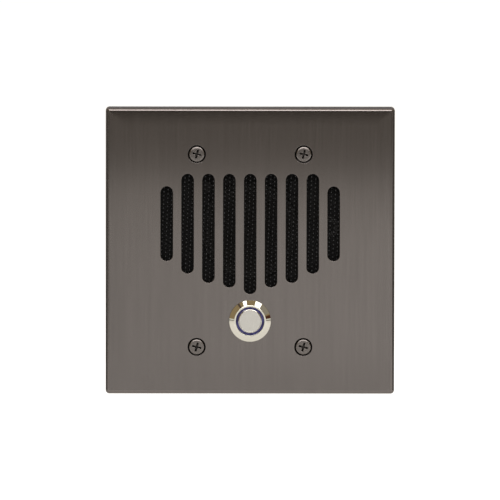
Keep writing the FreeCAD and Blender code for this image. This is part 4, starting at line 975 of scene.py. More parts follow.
def addPlateScrews():
    low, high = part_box("faceplate_screws")
    top, tip = low.y / mm, high.y / mm
    seat, head, neck = plateScrew["seat"], plateScrew["head"], plateScrew["neck"]
    neckStart, neckEnd = plateScrew["neckStart"], plateScrew["neckEnd"]
    shank, depth = plateScrew["shank"], plateScrew["threadDepth"]
    root = shank - depth
    rise = seat - top
    crown = [(head * reach, top + rise * fall) for reach, fall in plateScrew["crown"]]
    profile = crown + [(head, seat + 0.06), (neck, neckStart), (neck, neckEnd), (root, neckEnd + 0.2),
                       (root, tip - 0.7), (root - 0.5, tip), (0, tip)]
    blank = lathe(profile, steps=plateScrew["steps"])
    blank = crossRecess(blank, top, plateScrew["recessSpan"], plateScrew["recessWidth"],
                        plateScrew["recessDepth"], plateScrew["middle"], plateScrew["turn"])
    dark = plateScrew["shadeReach"]
    softenMouth(blank, top, dark, 0.05)
    # faces deep in the recess get the darker finish: painted shade
    for face in blank.faces:
        x, y, z = face.calc_center_median() / mm
        if math.hypot(x, z) < dark and top + plateScrew["shadeTop"] < y < neckStart - 0.2:
            face.material_index = 1
    ridge = thread(shank, depth, plateScrew["threadPitch"], neckEnd, tip - 0.4, steps=24)
    screws = atEach(cornersOf("faceplate_screws", head), joined(blank, ridge))
    addPiece("faceplate_screws_finished", screws, ["screwNickel", "recessPaintedShade"], "faceplate_screws",
             sharp=30, weighted=True)


addPlateScrews()
print("faceplate screws: 4")


# Seals, baffle and the bolts that carry them

def zincPlate(name, colour, shade, roughness):
    # bright zinc with a faint blue and yellow cast in its passivation
    material, g = newFinish(name)
    place = g.point()
    cast = g.noise(place, 0.35, 2.0)
    cloud = g.noise(place, 1.4, 4.0, 0.6)
    tone = g.tint(g.span(cloud, 0.32, 0.68), colour, shade)
    tone = g.tint(g.span(cast, 0.42, 0.62, 0.0, 0.22), tone, (0.66, 0.60, 0.42))
    g.surface(tone, g.span(cloud, 0.3, 0.7, roughness * 0.75, roughness * 1.3), (cloud, 0.006), Metallic=1.0)
    return material


addFinishes(foam, {"sealFoam": ((0.034, 0.034, 0.036), (0.010, 0.010, 0.011))})
addFinishes(rubber, {"sealRubber": ((0.014, 0.014, 0.015), (0.027, 0.026, 0.025))})
addFinishes(zincPlate, {"brightZinc": ((0.66, 0.66, 0.67), (0.50, 0.51, 0.53), 0.30)})
addFinishes(brushedMetal, {"turnedBrass": (
    (0.74, 0.55, 0.27), (0.64, 0.46, 0.20), 0.3, (12, 0.4, 12), 0.05, 0.002)})
finishes["bafflePlastic"] = mouldedPlastic(
    "bafflePlastic", (0.011, 0.011, 0.012), (0.018, 0.018, 0.019), 0.5, 5.0, 0.012, Specular_IOR_Level=0.15)

seals = {
    "wall_gasket": (0.55, 1.0),  # edge rounding in mm, and how tightly it is packed
    "baffle_gasket": (0.22, 1.0),
    "speaker_gasket": (0.18, 1.0),
}
sealStep = 5.0  # the foam can wander from one cut across it to the next, this many mm apart


def addSeals():
    swell = random.Random(4)
    for node, (width, fill) in seals.items():
        bm = welded(node)
        roundEdges(bm, width, 60, 4)
        low, high = boxOf(node)
        for axis, normal in ((0, (1, 0, 0)), (2, (0, 0, 1))):
            count = round((high[axis] - low[axis]) / sealStep)
            for step in range(1, count):
                place = [0, 0, 0]
                place[axis] = (low[axis] + (high[axis] - low[axis]) * step / count) * mm
                sliced(bm, place, normal)
        for v in bm.verts:  # cut foam isn't quite straight, and lies a little inside its space
            wander = 0.12 * math.sin(v.co.x / mm * 0.31 + v.co.z / mm * 0.23) + 0.05 * swell.random()
            middle = (low.y + high.y) / 2
            v.co.y = (middle + (v.co.y / mm - middle) * (0.985 - 0.05 * abs(wander))) * mm
        piece = addPiece(node + "_foam", bm, "sealFoam", node, weighted=True)


def threadedBar(radius, depth, pitch, start, end):
    # a plain screwed bar along Y with its point at y = end
    root, tip, steps = radius - depth, 0.5, 24
    core = [(0, start), (root, start), (root, end - tip), (root - tip * 0.7, end), (0, end)]
    ridge = thread(radius, depth, pitch, start, end - tip * 0.4, steps=steps)
    return joined(lathe(core, steps=steps * 2), ridge)


def panScrew(radius, depth, pitch, length, head, height):
    # its head's seat is at y = 0, its crown points to -Y and its point to +Y
    crown = arc((head * 0.35, -height), (head, -height * 0.32), height * 0.17)
    neck = radius - depth - 0.05
    profile = [(0, -height)] + crown + [(head, 0), (neck, 0), (neck, 0.4), (0, 0.4)]
    blank = lathe(profile, steps=56)
    span = head * 1.25
    blank = crossRecess(blank, -height, (span, span * 0.5), (0.7, 0.42), height * 0.72, (0.85, 0.5), 45)
    softenMouth(blank, -height, head * 0.8, 0.04)
    return joined(blank, threadedBar(radius, depth, pitch, 0.05, length))


stud = {
    "radius": 1.5,
    "threadPitch": 0.5,
    "threadDepth": 0.3,
    "collar": 2.1,
    "collarHeight": 0.6,
}

panScrews = {  # radius, thread depth and pitch, head radius and height; the second set cuts its own thread
    "board_screws": (1.5, 0.3, 0.5, 2.8, 2.0),
    "speaker_screws": (1.05, 0.34, 0.9, 3.0, 1.7),
}


def addBolts():
    low, high = boxOf("weld_studs")
    radius, collar = stud["radius"], stud["collar"]
    step = low.y + stud["collarHeight"]
    foot = lathe([(0, low.y), (collar, low.y), (collar, step), (radius - 0.1, step), (0, step)],
                 steps=40, rounding=0.08)
    bar = threadedBar(radius, stud["threadDepth"], stud["threadPitch"], low.y + 0.5, high.y)
    studs = atEach(cornersOf("weld_studs", collar), joined(foot, bar))
    addPiece("weld_studs_threaded", studs, "brightZinc", "weld_studs", sharp=30)

    flip = Matrix.Rotation(math.pi, 4, "X")
    for node, (radius, depth, pitch, head, height) in panScrews.items():
        low, high = boxOf(node)
        seat = high.y - height
        screw = panScrew(radius, depth, pitch, seat - low.y, head, height)
        rest = random.Random(head)
        parts = []
        for x, z in cornersOf(node, head):
            turn = Matrix.Rotation(rest.uniform(0, math.pi / 2), 4, "Y")
            parts.append((screw, Matrix.Translation(Vector((x, seat, z)) * mm) @ turn @ flip))
        addPiece(node + "_recessed", joined(*parts), "brightZinc", node, sharp=30, weighted=True)


addSeals()
addBolts()
for node, width, finish in (
        ("speaker_baffle", 0.28, "bafflePlastic"), ("stud_washers", 0.1, "brightZinc"),
        ("board_standoffs", 0.22, "turnedBrass"), ("lock_washer", 0.12, "brightZinc"),
        ("lock_nut", 0.35, "bezelChrome"), ("button_gasket", 0.1, "sealRubber")):
    edged(node, width, finish)
print("seals, baffle and bolts")


# Loudspeaker

def paperPulp(name, colour, shade):
    # pressed fibres that lie every way
    material, g = newFinish(name)
    felt = g.noise(g.point(scale=(1.2, 1.2, 1.2)), 1.0, 6.0, 0.75)
    hairs = g.noise(g.point(turn=(0.4, 0.9, 0.2), scale=(6, 1.1, 1.3)), 1.0, 3.0)
    tone = g.tint(g.clamp(g.span(felt, 0.3, 0.7) * 0.6 + g.span(hairs, 0.45, 0.7) * 0.4), colour, shade)
    g.surface(tone, 0.82 + felt * 0.1, (felt * 0.6 + hairs * 0.4, 0.05), Sheen_Weight=0.15)
    return material


def wovenCotton(name, colour, shade, pitch):
    material, g = newFinish(name)
    height = g.cloth(pitch)
    uneven = g.noise(g.point(), 0.7, 3.0)
    tone = g.tint(g.clamp(height * 0.6 + g.span(uneven, 0.3, 0.7) * 0.4), shade, colour)
    g.surface(tone, 0.8 - height * 0.12, (height, 0.09), Sheen_Weight=0.2)
    return material


def windings(name, colour, shade, pitch):
    # enamelled wire, wound turn beside turn along Y
    material, g = newFinish(name)
    turns = g.sum("SINE", g.axis(g.point(), "Y") * (fullTurn / pitch))
    cloud = g.noise(g.point(), 0.9, 3.0)
    tone = g.tint(g.span(cloud, 0.3, 0.7), colour, shade)
    g.surface(tone, 0.26 + cloud * 0.1, (turns * 0.5 + 0.5, 0.05), Metallic=0.9, Coat_Weight=0.5)
    return material


def sinteredFerrite(name, colour, shade):
    material, g = newFinish(name)
    grain = g.noise(g.point(), 3.5, 5.0, 0.7)
    dust = g.noise(g.point(), 0.5, 3.0)
    tone = g.tint(g.span(grain, 0.3, 0.7), colour, shade)
    g.surface(tone, g.span(dust, 0.3, 0.7, 0.48, 0.7), (grain, 0.035))
    return material


speakerAxis = (0, 0, 8)
addFinishes(mouldedPlastic, {
    "basketBlack": ((0.024, 0.024, 0.026), (0.034, 0.033, 0.033), 0.38, 3.0, 0.010)})
addFinishes(turnedMetal, {
    "yokeZinc": ((0.60, 0.60, 0.61), (0.47, 0.475, 0.49), 0.30, speakerAxis, 0.22, 0.006)})
addFinishes(sinteredFerrite, {"ferrite": ((0.048, 0.048, 0.051), (0.075, 0.073, 0.072))})
addFinishes(paperPulp, {
    "conePaper": ((0.013, 0.0125, 0.012), (0.022, 0.021, 0.020)),
    "kraftPaper": ((0.50, 0.35, 0.19), (0.38, 0.255, 0.13)),
    "tagLaminate": ((0.33, 0.165, 0.06), (0.23, 0.105, 0.036)),
})
addFinishes(wovenCotton, {"spiderCloth": ((0.50, 0.32, 0.11), (0.28, 0.165, 0.05), 0.62)})
addFinishes(windings, {
    "coilCopper": ((0.58, 0.23, 0.10), (0.42, 0.15, 0.06), 0.16),
    "tinsel": ((0.66, 0.36, 0.20), (0.48, 0.24, 0.12), 0.3),
})
addFinishes(platedMetal, {
    "tinnedTags": ((0.74, 0.735, 0.71), (0.60, 0.595, 0.57), 0.26),
    "solder": ((0.80, 0.80, 0.80), (0.62, 0.62, 0.64), 0.17, 1.6),
})

speaker = {
    "steps": 120,
    "sectors": 12,  # the soft rings are made in this many pieces
    "lip": 17.8,
    "rollIn": 18.9,
    "rollOut": 21.6,
    "rollBow": 0.82,
    "rollThick": 0.3,
    "edge": 25.0,
    "coil": 7.0,
    "spiderOut": 16.6,
    "spiderWaves": 7,
    "spiderHeight": 0.38,
    "spiderThick": 0.3,
    "coneRibs": 3,
    "ribHeight": 0.16,
    "coneThick": 0.42,
    "domeRise": 1.65,
    "domeReach": 7.5,
    "domeThick": 0.3,
}


def softRing(name, node, profile, finish, fromRadius, toRadius):
    # a soft ring in sectors, which lie between the basket and the cone
    centre = Vector(speakerAxis)
    low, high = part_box(node)
    share = fullTurn / speaker["sectors"]
    steps = round(speaker["steps"] / speaker["sectors"])
    for sector in range(speaker["sectors"]):
        start = share * sector
        bm = lathe(profile, speakerAxis, steps, share, start)
        closed(bm)
        bmesh.ops.recalc_face_normals(bm, faces=bm.faces)
        piece = addPiece(f"{name}_{sector + 1}", bm, finish, node, body="blended")
        way = Vector((math.cos(start + share / 2), 0, math.sin(start + share / 2)))
        level = Vector((0, (low.y + high.y) / 2 / mm, 0))
        outer, inner = (tuple((centre + level + way * r) * mm) for r in (fromRadius, toRadius))
        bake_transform(piece)


def addSurround():
    rear = boxOf("cone_surround")[1].y
    front = rear - speaker["rollThick"]
    lip, inner, outer, edge = speaker["lip"], speaker["rollIn"], speaker["rollOut"], speaker["edge"]
    roll = arc((inner, front), (outer, front), -speaker["rollBow"], 12)
    under = arc((outer - 0.25, rear), (inner + 0.25, rear), speaker["rollBow"], 12)
    profile = [(lip, front)] + roll + [(edge, front), (edge, rear)] + under + [(lip, rear)]
    softRing("cone_surround_roll", "cone_surround", profile, "sealRubber", outer + 0.2, inner - 0.1)


def addSpider():
    low, high = boxOf("spider")
    waves, coil, reach = speaker["spiderWaves"], speaker["coil"], speaker["spiderOut"]
    step = (reach - coil) / (waves + 2)
    flat, seat = low.y + 0.4, high.y - 0.9
    face = []
    for i in range((waves + 1) * 6 + 1):
        wave = i / 6
        size = speaker["spiderHeight"] * min(1, wave, waves + 1 - wave)
        drift = (seat - flat) * wave / (waves + 1)
        face.append((coil + step * wave, flat + drift + size * math.cos(math.pi * wave)))
    face.append((reach, seat))
    rear = [(r, y + speaker["spiderThick"]) for r, y in reversed(face)]
    softRing("spider_corrugated", "spider", face + rear, "spiderCloth", reach - step, coil + step)


def addCone():
    low, high = boxOf("speaker_cone")
    lip, coil, count = speaker["lip"], speaker["coil"], 48
    top = high.y - 0.5
    slope = (top - low.y) / (lip - coil)
    front, rear = [], []
    for i in range(count + 1):
        r = coil + (lip - coil) * i / count
        y = top - slope * (r - coil)
        wave = abs((r - coil) / (lip - coil) * (speaker["coneRibs"] + 1) % 1 - 0.5)
        rib = speaker["ribHeight"] * max(0, 1 - wave / 0.16) if 2 < i < count - 3 else 0
        front.append((r, y + rib))
        rear.append((r, min(y + rib + speaker["coneThick"], high.y)))
    profile = front + [(lip + 1.0, low.y), (lip + 1.0, low.y + 0.4)] + rear[::-1]
    addPiece("speaker_cone_ribbed", lathe(profile, speakerAxis, speaker["steps"]), "conePaper",
             "speaker_cone", sharp=50)


def addDustCap():
    front = boxOf("dust_cap")[0].y
    rise, reach = speaker["domeRise"], speaker["domeReach"]
    bend = (reach ** 2 + rise ** 2) / (2 * rise)
    steps = [reach * i / 16 for i in range(17)]
    dome = [(r, front + bend - math.sqrt(bend ** 2 - r ** 2)) for r in steps]
    profile = dome + [(r, y + speaker["domeThick"]) for r, y in reversed(dome)]
    addPiece("dust_cap_domed", lathe(profile, speakerAxis, speaker["steps"]), "conePaper", "dust_cap",
             sharp=60)


def addSpeaker():
    addSurround()
    addSpider()
    addCone()
    addDustCap()
    for node, width, finish in (
            ("speaker_basket", 0.14, "basketBlack"), ("top_plate", 0.2, "yokeZinc"),
            ("speaker_magnet", 0.3, "ferrite"), ("yoke", 0.35, "yokeZinc"),
            ("voice_coil", 0.06, "coilCopper"), ("voice_coil_former", 0.03, "kraftPaper")):
        edged(node, width, finish)


tag = {
    "levels": (4.8, 11.2),
    "width": 2.2,
    "hole": 0.45,
    "rivetX": 1.5,
    "rivet": (0.85, 0.7),  # its radius at its foot and at its head
    "bead": 0.62,
}


def tagStrip(level):
    # one tag: rounded outer end with a hole, a rivet through the strip and a bead of solder
    low, high = boxOf("solder_tags")
    half = tag["width"] / 2
    bar = box((low.x, low.y, level - half), (high.x - half, high.y, level + half))
    tip = rod((high.x - half, level), half, low.y, high.y, 32)
    hole = rod((high.x - half, level), tag["hole"], low.y - 1, high.y + 1, 20)
    strip = joined(bar, tip)
    bmesh.ops.recalc_face_normals(strip, faces=strip.faces)
    strip = roundEdges(cut(strip, hole), 0.06, 40)
    foot, head = tag["rivet"]
    rivet = rod((low.x + tag["rivetX"], level), foot, low.y - 0.1, high.y + 0.28, 28, head)
    roundEdges(rivet, 0.12, 40)
    return [strip, rivet, bead((high.x - 1.0, high.y, level), tag["bead"], (1.25, 0.5, 1.0), 1)]


def addTags():
    parts = [part for level in tag["levels"] for part in tagStrip(level)]
    addPiece("solder_tags_riveted", joined(*parts), ["tinnedTags", "solder"], "solder_tags", sharp=35)
    edged("tag_board", 0.12, "tagLaminate")


addSpeaker()
addTags()
print("loudspeaker: soft rings of", speaker["sectors"], "sectors")


# Microphone and the inside of the button

def fibreFelt(name, colour, shade):
    material, g = newFinish(name)
    pile = g.noise(g.point(), 7.0, 6.0, 0.8)
    tone = g.tint(g.span(pile, 0.35, 0.65), shade, colour)
    g.surface(tone, 0.95, (pile, 0.06), Sheen_Weight=0.3)
    return material


addFinishes(platedMetal, {
    "drawnAluminium": ((0.72, 0.72, 0.73), (0.60, 0.60, 0.62), 0.24),
    "springWire": ((0.62, 0.62, 0.63), (0.52, 0.52, 0.54), 0.16),
    "silverBrass": ((0.76, 0.73, 0.66), (0.62, 0.58, 0.50), 0.22),
})
addFinishes(fibreFelt, {"blackFelt": ((0.012, 0.012, 0.012), (0.004, 0.004, 0.004))})
addFinishes(mouldedPlastic, {
    "switchPlastic": ((0.022, 0.022, 0.024), (0.034, 0.033, 0.034), 0.42, 6.0, 0.006),
    "lampEpoxy": ((0.78, 0.80, 0.84), (0.70, 0.70, 0.62), 0.14, 3.0, 0.002),
})

microphone = {
    "centre": (34.4, 0, 10),
    "steps": 64,
    "felt": 2.35,
    "crimp": 0.28,
    "wall": 0.25,
    "padSpread": 1.3,  # the two wires leave this far from its middle
    "bead": 0.72,
}

spring = {
    "coil": 3.2,
    "wire": 0.25,
    "turns": 4.0,
    "steps": 40,
    "sides": 10,
    "pressed": 0.5,  # its length with the cap pressed, as a share of its free length
}


def plug(radius, y0, y1, centre, steps):
    # a round plate between two y levels
    return lathe([(0, y0), (radius, y0), (radius, y1), (0, y1)], centre, steps)


def addMicrophone():
    low, high = boxOf("microphone")
    centre, steps, felt = microphone["centre"], microphone["steps"], microphone["felt"]
    radius = (high.x - low.x) / 2
    base = radius - microphone["crimp"]
    inside = high.y - microphone["wall"]
    shell = lathe([(felt, low.y), (radius, low.y), (radius, high.y), (base, high.y), (base, inside),
                   (felt, inside)], centre, steps, rounding=0.11)
    beads = [bead((centre[0] + side * microphone["padSpread"], high.y - 0.2, centre[2]),
                  microphone["bead"], (1, 0.28, 1), 3) for side in (-1, 1)]
    whole = joined(shell, marked(plug(felt + 0.1, low.y + 0.08, low.y + 0.6, centre, steps), 1),
                   marked(plug(base, high.y - 0.7, high.y - 0.22, centre, steps), 2), *beads)
    addPiece("microphone_capsule", whole, ["drawnAluminium", "blackFelt", "maskGreen", "solder"],
             "microphone", weighted=True)
    edged("microphone_boot", 0.16, "sealRubber")


def addSpring():
    low, high = boxOf("return_spring")
    wire, sides = spring["wire"], spring["sides"]
    angles = [fullTurn * i / sides for i in range(sides)]
    section = [(spring["coil"] + wire * math.cos(a), wire * math.sin(a)) for a in angles]
    rise = high.y - low.y - 2 * wire
    centre = (button["centre"][0], low.y + wire, button["centre"][2])
    coil = helix(section, rise / spring["turns"], spring["turns"], centre, spring["steps"])
    piece = addPiece("return_spring_wound", coil, "springWire", "return_spring", sharp=60)
    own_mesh(piece)


# Circuit board

def solderMask(name, colour, shade):
    # a glossy green coat over the weave of the laminate
    material, g = newFinish(name)
    cloth = g.cloth(0.625)
    cloud = g.noise(g.point(), 0.12, 3.0)
    tone = g.tint(g.clamp(cloth * 0.25 + g.span(cloud, 0.3, 0.7) * 0.75), colour, shade)
    g.surface(tone, 0.28 + cloth * 0.05, (cloth, 0.006), Coat_Weight=0.4, Coat_Roughness=0.12)
    return material


addFinishes(solderMask, {
    "maskGreen": ((0.014, 0.105, 0.046), (0.011, 0.082, 0.038)),
    "traceGreen": ((0.030, 0.190, 0.080), (0.024, 0.160, 0.068)),
})
addFinishes(mouldedPlastic, {
    "bareLaminate": ((0.50, 0.47, 0.27), (0.40, 0.37, 0.20), 0.55, 4.0, 0.02),
    "silkWhite": ((0.78, 0.78, 0.75), (0.70, 0.70, 0.67), 0.50, 6.0, 0.004),
    "terminalGreen": ((0.028, 0.175, 0.070), (0.022, 0.145, 0.058), 0.36, 5.0, 0.006),
    "chipEpoxy": ((0.018, 0.018, 0.019), (0.028, 0.027, 0.027), 0.50, 7.0, 0.012),
    "sleeveBlue": ((0.014, 0.018, 0.042), (0.020, 0.024, 0.052), 0.24, 3.0, 0.003),
    "sleeveStripe": ((0.42, 0.44, 0.50), (0.36, 0.38, 0.44), 0.26, 3.0, 0.003),
    "resistorTan": ((0.52, 0.38, 0.22), (0.45, 0.32, 0.175), 0.34, 4.0, 0.006),
    "trimmerBlue": ((0.020, 0.085, 0.270), (0.016, 0.068, 0.225), 0.34, 5.0, 0.005),
    "rotorCream": ((0.74, 0.72, 0.66), (0.66, 0.64, 0.57), 0.40, 5.0, 0.005),
    "coatRed": ((0.42, 0.016, 0.014), (0.34, 0.012, 0.011), 0.32, 4.0, 0.004),
    "coatBlack": ((0.016, 0.016, 0.017), (0.026, 0.026, 0.026), 0.32, 4.0, 0.004),
    "coatWhite": ((0.74, 0.73, 0.69), (0.66, 0.65, 0.60), 0.34, 4.0, 0.004),
})
bandColours = {
    "bandBrown": (0.085, 0.028, 0.012), "bandRed": (0.42, 0.012, 0.010), "bandOrange": (0.62, 0.17, 0.015),
    "bandYellow": (0.66, 0.52, 0.03), "bandGreen": (0.02, 0.19, 0.05), "bandViolet": (0.16, 0.04, 0.28),
    "bandBlack": (0.010, 0.010, 0.010), "bandGold": (0.52, 0.36, 0.10),
}
addFinishes(mouldedPlastic, {name: (colour, tuple(c * 0.8 for c in colour), 0.36, 5.0, 0.004)
                             for name, colour in bandColours.items()})

board = {
    "front": 19.0,
    "back": 20.6,
    "leadEnd": 17.6,
    "traceWidth": 0.75,
    "traceHeight": 0.045,
    "padRadius": 0.95,
    "filletHeight": 0.95,
    "viaHole": 0.18,
    "viaRadius": 0.42,
    "silkWidth": 0.18,
    "silkHeight": 0.02,
    "terminals": [(x, 30.5) for x in (-7.62, -2.54, 2.54, 7.62)],
    "chip": (31.0, 5.0),
    "chipLegs": [(31.0 + side * 3.81, 1.19 + 2.54 * row) for side in (-1, 1) for row in range(4)],
    "cans": [(31.0, 19.5), (31.0, -10.5), (-31.5, 25.0), (-21.3, 27.5)],
    "canSpacing": 3.5,
    "resistorX": -30.0,
    "resistorRows": [-9.6 + 3.4 * row for row in range(5)],
    "resistorSpacing": 10.16,
    "trimmer": (-33.0, 13.5),
    "trimmerLegs": [(-33.0, 13.5 + 2.54 * step) for step in (-1, 0, 1)],
    "wirePads": [(-8.0, -15.5), (-3.0, -15.5), (3.0, -15.5), (8.0, -15.5)],
    "frontPads": [(30.95, 4.8), (30.95, 11.2), (33.1, 14.0), (35.7, 14.0)],
}

traces = [  # routes of (x, z) points on the board's back; a last entry of 1 ends one in a small via
    ([(-7.62, 30.5), (-10.62, 27.5), (-19.55, 27.5)], 0),
    ([(-23.05, 27.5), (-25.55, 25.0), (-29.75, 25.0)], 0),
    ([(-33.25, 25.0), (-38.4, 19.85), (-38.4, 3.92), (-35.08, 0.6)], 0),
    ([(-33.0, 16.04), (-27.46, 16.04), (-16.9, 26.6), (-6.44, 26.6), (-2.54, 30.5)], 0),
    ([(-33.0, 13.5), (-24.5, 13.5), (-21.5, 10.5), (-21.5, 7.42), (-24.92, 4.0)], 0),
    ([(-33.0, 10.96), (-36.8, 7.16), (-36.8, 5.72), (-35.08, 4.0)], 0),
    ([(-24.92, 0.6), (-23.22, -1.1), (-24.92, -2.8)], 0),
    ([(-35.08, -2.8), (-35.08, -6.2)], 0),
    ([(-24.92, -6.2), (-17.3, -6.2), (-8.0, -15.5)], 0),
    ([(-24.92, -9.6), (-16.82, -17.7), (-5.2, -17.7), (-3.0, -15.5)], 0),
    ([(-35.08, -9.6), (-40.2, -4.48), (-40.2, 28.0), (-37.9, 30.3)], 0),
    ([(3.0, -15.5), (5.2, -17.7), (22.05, -17.7), (29.25, -10.5)], 0),
    ([(8.0, -15.5), (17.3, -6.2), (19.8, -6.2), (27.19, 1.19)], 0),
    ([(32.75, -10.5), (38.4, -4.85), (38.4, -2.4), (34.81, 1.19)], 0),
    ([(34.81, 8.81), (36.9, 10.9), (36.9, 15.35), (32.75, 19.5)], 0),
    ([(34.81, 3.73), (40.0, 8.92), (40.0, 28.2), (37.9, 30.3)], 0),
    ([(34.81, 6.27), (38.4, 9.86), (38.4, 20.8), (33.5, 25.7), (25.5, 25.7)], 1),
    ([(27.19, 3.73), (24.4, 3.73), (21.0, 0.33), (21.0, -2.4)], 1),
    ([(27.19, 6.27), (25.2, 8.26), (25.2, 10.4)], 1),
    ([(27.19, 8.81), (27.19, 12.2), (20.3, 19.09), (20.3, 22.8), (14.9, 28.2), (9.92, 28.2),
      (7.62, 30.5)], 0),
    ([(29.25, 19.5), (26.6, 22.15), (23.4, 22.15)], 1),
    ([(2.54, 30.5), (6.34, 26.7), (13.2, 26.7), (14.6, 25.3)], 1),
]


def strips(route, width, y, height):
    # flat bars on the board's face through (x, z) points, with a slightly higher round spot at each point
    parts = [rod(point, width * 0.55, y, y + height * 1.2, 16) for point in dict.fromkeys(route)]
    for start, end in zip(route, route[1:]):
        a, b = Vector(start), Vector(end)
        angle = math.atan2(b.y - a.y, b.x - a.x)
        bar = box((0, 0, -width / 2), ((b - a).length, height, width / 2))
        place = Matrix.Translation(Vector((a.x, y, a.y)) * mm) @ Matrix.Rotation(-angle, 4, "Y")
        parts.append((bar, place))
    return parts


def solderCone(x, z, seat, way, wide, height, lead):
    # a hollow-sided bead of solder round a lead; way is +1 or -1 along Y
    profile = [(0, 0)]
    for i in range(7):
        share = i / 6
        profile.append((lead + (wide - lead) * (1 - share) ** 2.2, height * share))
    profile.append((0, height * 1.04))
    return lathe([(r, y * way + seat) for r, y in profile], (x, 0, z), 20)


def ringOn(x, z, inner, outer, y, height, steps=24):
    return lathe([(inner, y), (outer, y), (outer, y + height), (inner, y + height)], (x, 0, z), steps)


def throughHoles():
    holes = [(x + side * board["canSpacing"] / 2, z) for x, z in board["cans"] for side in (-1, 1)]
    holes += [(board["resistorX"] + side * board["resistorSpacing"] / 2, z)
              for z in board["resistorRows"] for side in (-1, 1)]
    return holes + board["chipLegs"] + board["trimmerLegs"] + board["terminals"]


def silkOutline(centre, corners):
    # a printed line through the corners round a part's centre
    x, z = centre
    route = [(x + a, z + b) for a, b in corners]
    return strips(route + route[:1], board["silkWidth"], board["back"], board["silkHeight"])


def frameOf(x, z):
    return ((-x, -z), (x, -z), (x, z), (-x, z))


def addBoard():
    piece = edged("circuit_board", 0.05, ["maskGreen", "bareLaminate"])
    paint(piece, 1, lambda p, n: abs(n.y) < 0.5)

    back, front, height = board["back"], board["front"], board["traceHeight"]
    copper = []
    for route, via in traces:
        copper += strips(route, board["traceWidth"], back, height)
        if via:
            copper.append(ringOn(*route[-1], board["viaHole"], board["viaRadius"], back, height * 1.6, 16))
    addPiece("board_traces", joined(*copper), "traceGreen", body="root", sharp=30)

    beads = []
    wide = board["padRadius"]
    for x, z in throughHoles():
        beads.append(ringOn(x, z, 0.4, wide, back, height * 1.5))
        beads.append(solderCone(x, z, front, -1, wide, board["filletHeight"], 0.3))
    for x, z in board["wirePads"]:
        beads.append(solderCone(x, z, back, 1, wide * 1.15, 1.1, 0.4))
    for x, z in board["frontPads"]:
        beads.append(solderCone(x, z, front, -1, wide, 0.9, 0.32))
    for x, z in cornersOf("weld_studs", stud["collar"]):
        beads.append(ringOn(x, z, 1.75, 3.35, back, height, 40))
        beads.append(ringOn(x, z, 1.75, 3.2, front - height, height, 40))
    addPiece("board_solder", joined(*beads), "solder", body="root", sharp=40)

    silk = []
    for x, z in board["cans"]:
        silk.append(ringOn(x, z, 4.25, 4.42, back, board["silkHeight"], 48))
    for z in board["resistorRows"]:
        silk += silkOutline((board["resistorX"], z), frameOf(3.3, 1.3))
    silk += silkOutline(board["trimmer"], frameOf(5.2, 5.2))
    silk += silkOutline(board["chip"], ((-2.6, -5.2), (2.6, -5.2), (2.6, 5.2), (0.8, 5.2), (0, 4.5),
                                        (-0.8, 5.2), (-2.6, 5.2)))
    silk += silkOutline((0, 0), ((-10.6, 26.1), (10.6, 26.1), (10.6, 34.8), (-10.6, 34.8)))
    addPiece("board_silk", joined(*silk), "silkWhite", body="root", sharp=30)


chip = {
    "body": (6.4, 3.3, 9.4),
    "lift": 0.5,
    "draft": 0.16,
    "legWide": 1.4,
    "legNarrow": 0.5,
    "legThick": 0.26,
    "notch": (0.95, 0.3),  # radius and depth of the end's notch, and of the first pin's mark
    "mark": (0.5, 0.12),
}


def addChip():
    x, z = board["chip"]
    wide, tall, long = chip["body"]
    base = board["back"] + chip["lift"]
    level = base + tall / 2
    body = box((x - wide / 2, base, z - long / 2), (x + wide / 2, base + tall, z + long / 2))
    sliced(body, (0, level * mm, 0), (0, 1, 0))
    for v in body.verts:
        if abs(v.co.y / mm - level) > 0.1:
            v.co.x = (x + (v.co.x / mm - x) * (1 - chip["draft"] / wide * 2)) * mm
            v.co.z = (z + (v.co.z / mm - z) * (1 - chip["draft"] / long * 2)) * mm
    roundEdges(body, 0.1, 40)
    top = base + tall
    for place, (radius, depth), steps in (
            ((x, z + long / 2 - 0.05), chip["notch"], 32), ((x - 1.9, z + long / 2 - 1.5), chip["mark"], 24)):
        body = cut(body, rod(place, radius, top - depth, top + 1, steps))
    legs = []
    thick, narrow, broad = chip["legThick"], chip["legNarrow"], chip["legWide"]
    for legX, legZ in board["chipLegs"]:
        side = math.copysign(1, legX - x)
        near, far = sorted((x + side * (wide / 2 - 0.3), legX + side * thick / 2))
        left, right = legX - thick / 2, legX + thick / 2
        down, up = legZ - broad / 2, legZ + broad / 2
        shoulder = box((near, level, down), (far, level + thick, up))
        upper = box((left, board["back"] + 0.3, down), (right, level + thick, up))
        for v in upper.verts:
            if v.co.y / mm < level - 0.5:
                v.co.z = (legZ + (v.co.z / mm - legZ) * narrow / broad) * mm
        pin = box((left, board["leadEnd"], legZ - narrow / 2), (right, board["back"] + 0.4, legZ + narrow / 2))
        legs += [marked(roundEdges(part, 0.05, 40), 1) for part in (shoulder, upper, pin)]
    addPiece("amplifier_chip_legged", joined(body, *legs), ["chipEpoxy", "tinnedTags"], "amplifier_chip",
             sharp=35)


can = {
    "radius": 4.0,
    "height": 11.0,
    "groove": 0.35,
    "steps": 72,
    "stripe": 0.42,  # half its angle
    "sink": 0.16,  # its bare top lies this far below the sleeve's edge
    "ventReach": 0.55,  # the vent's cross, as a share of the radius
    "ventWidth": 0.22,
    "ventDepth": 0.14,
}


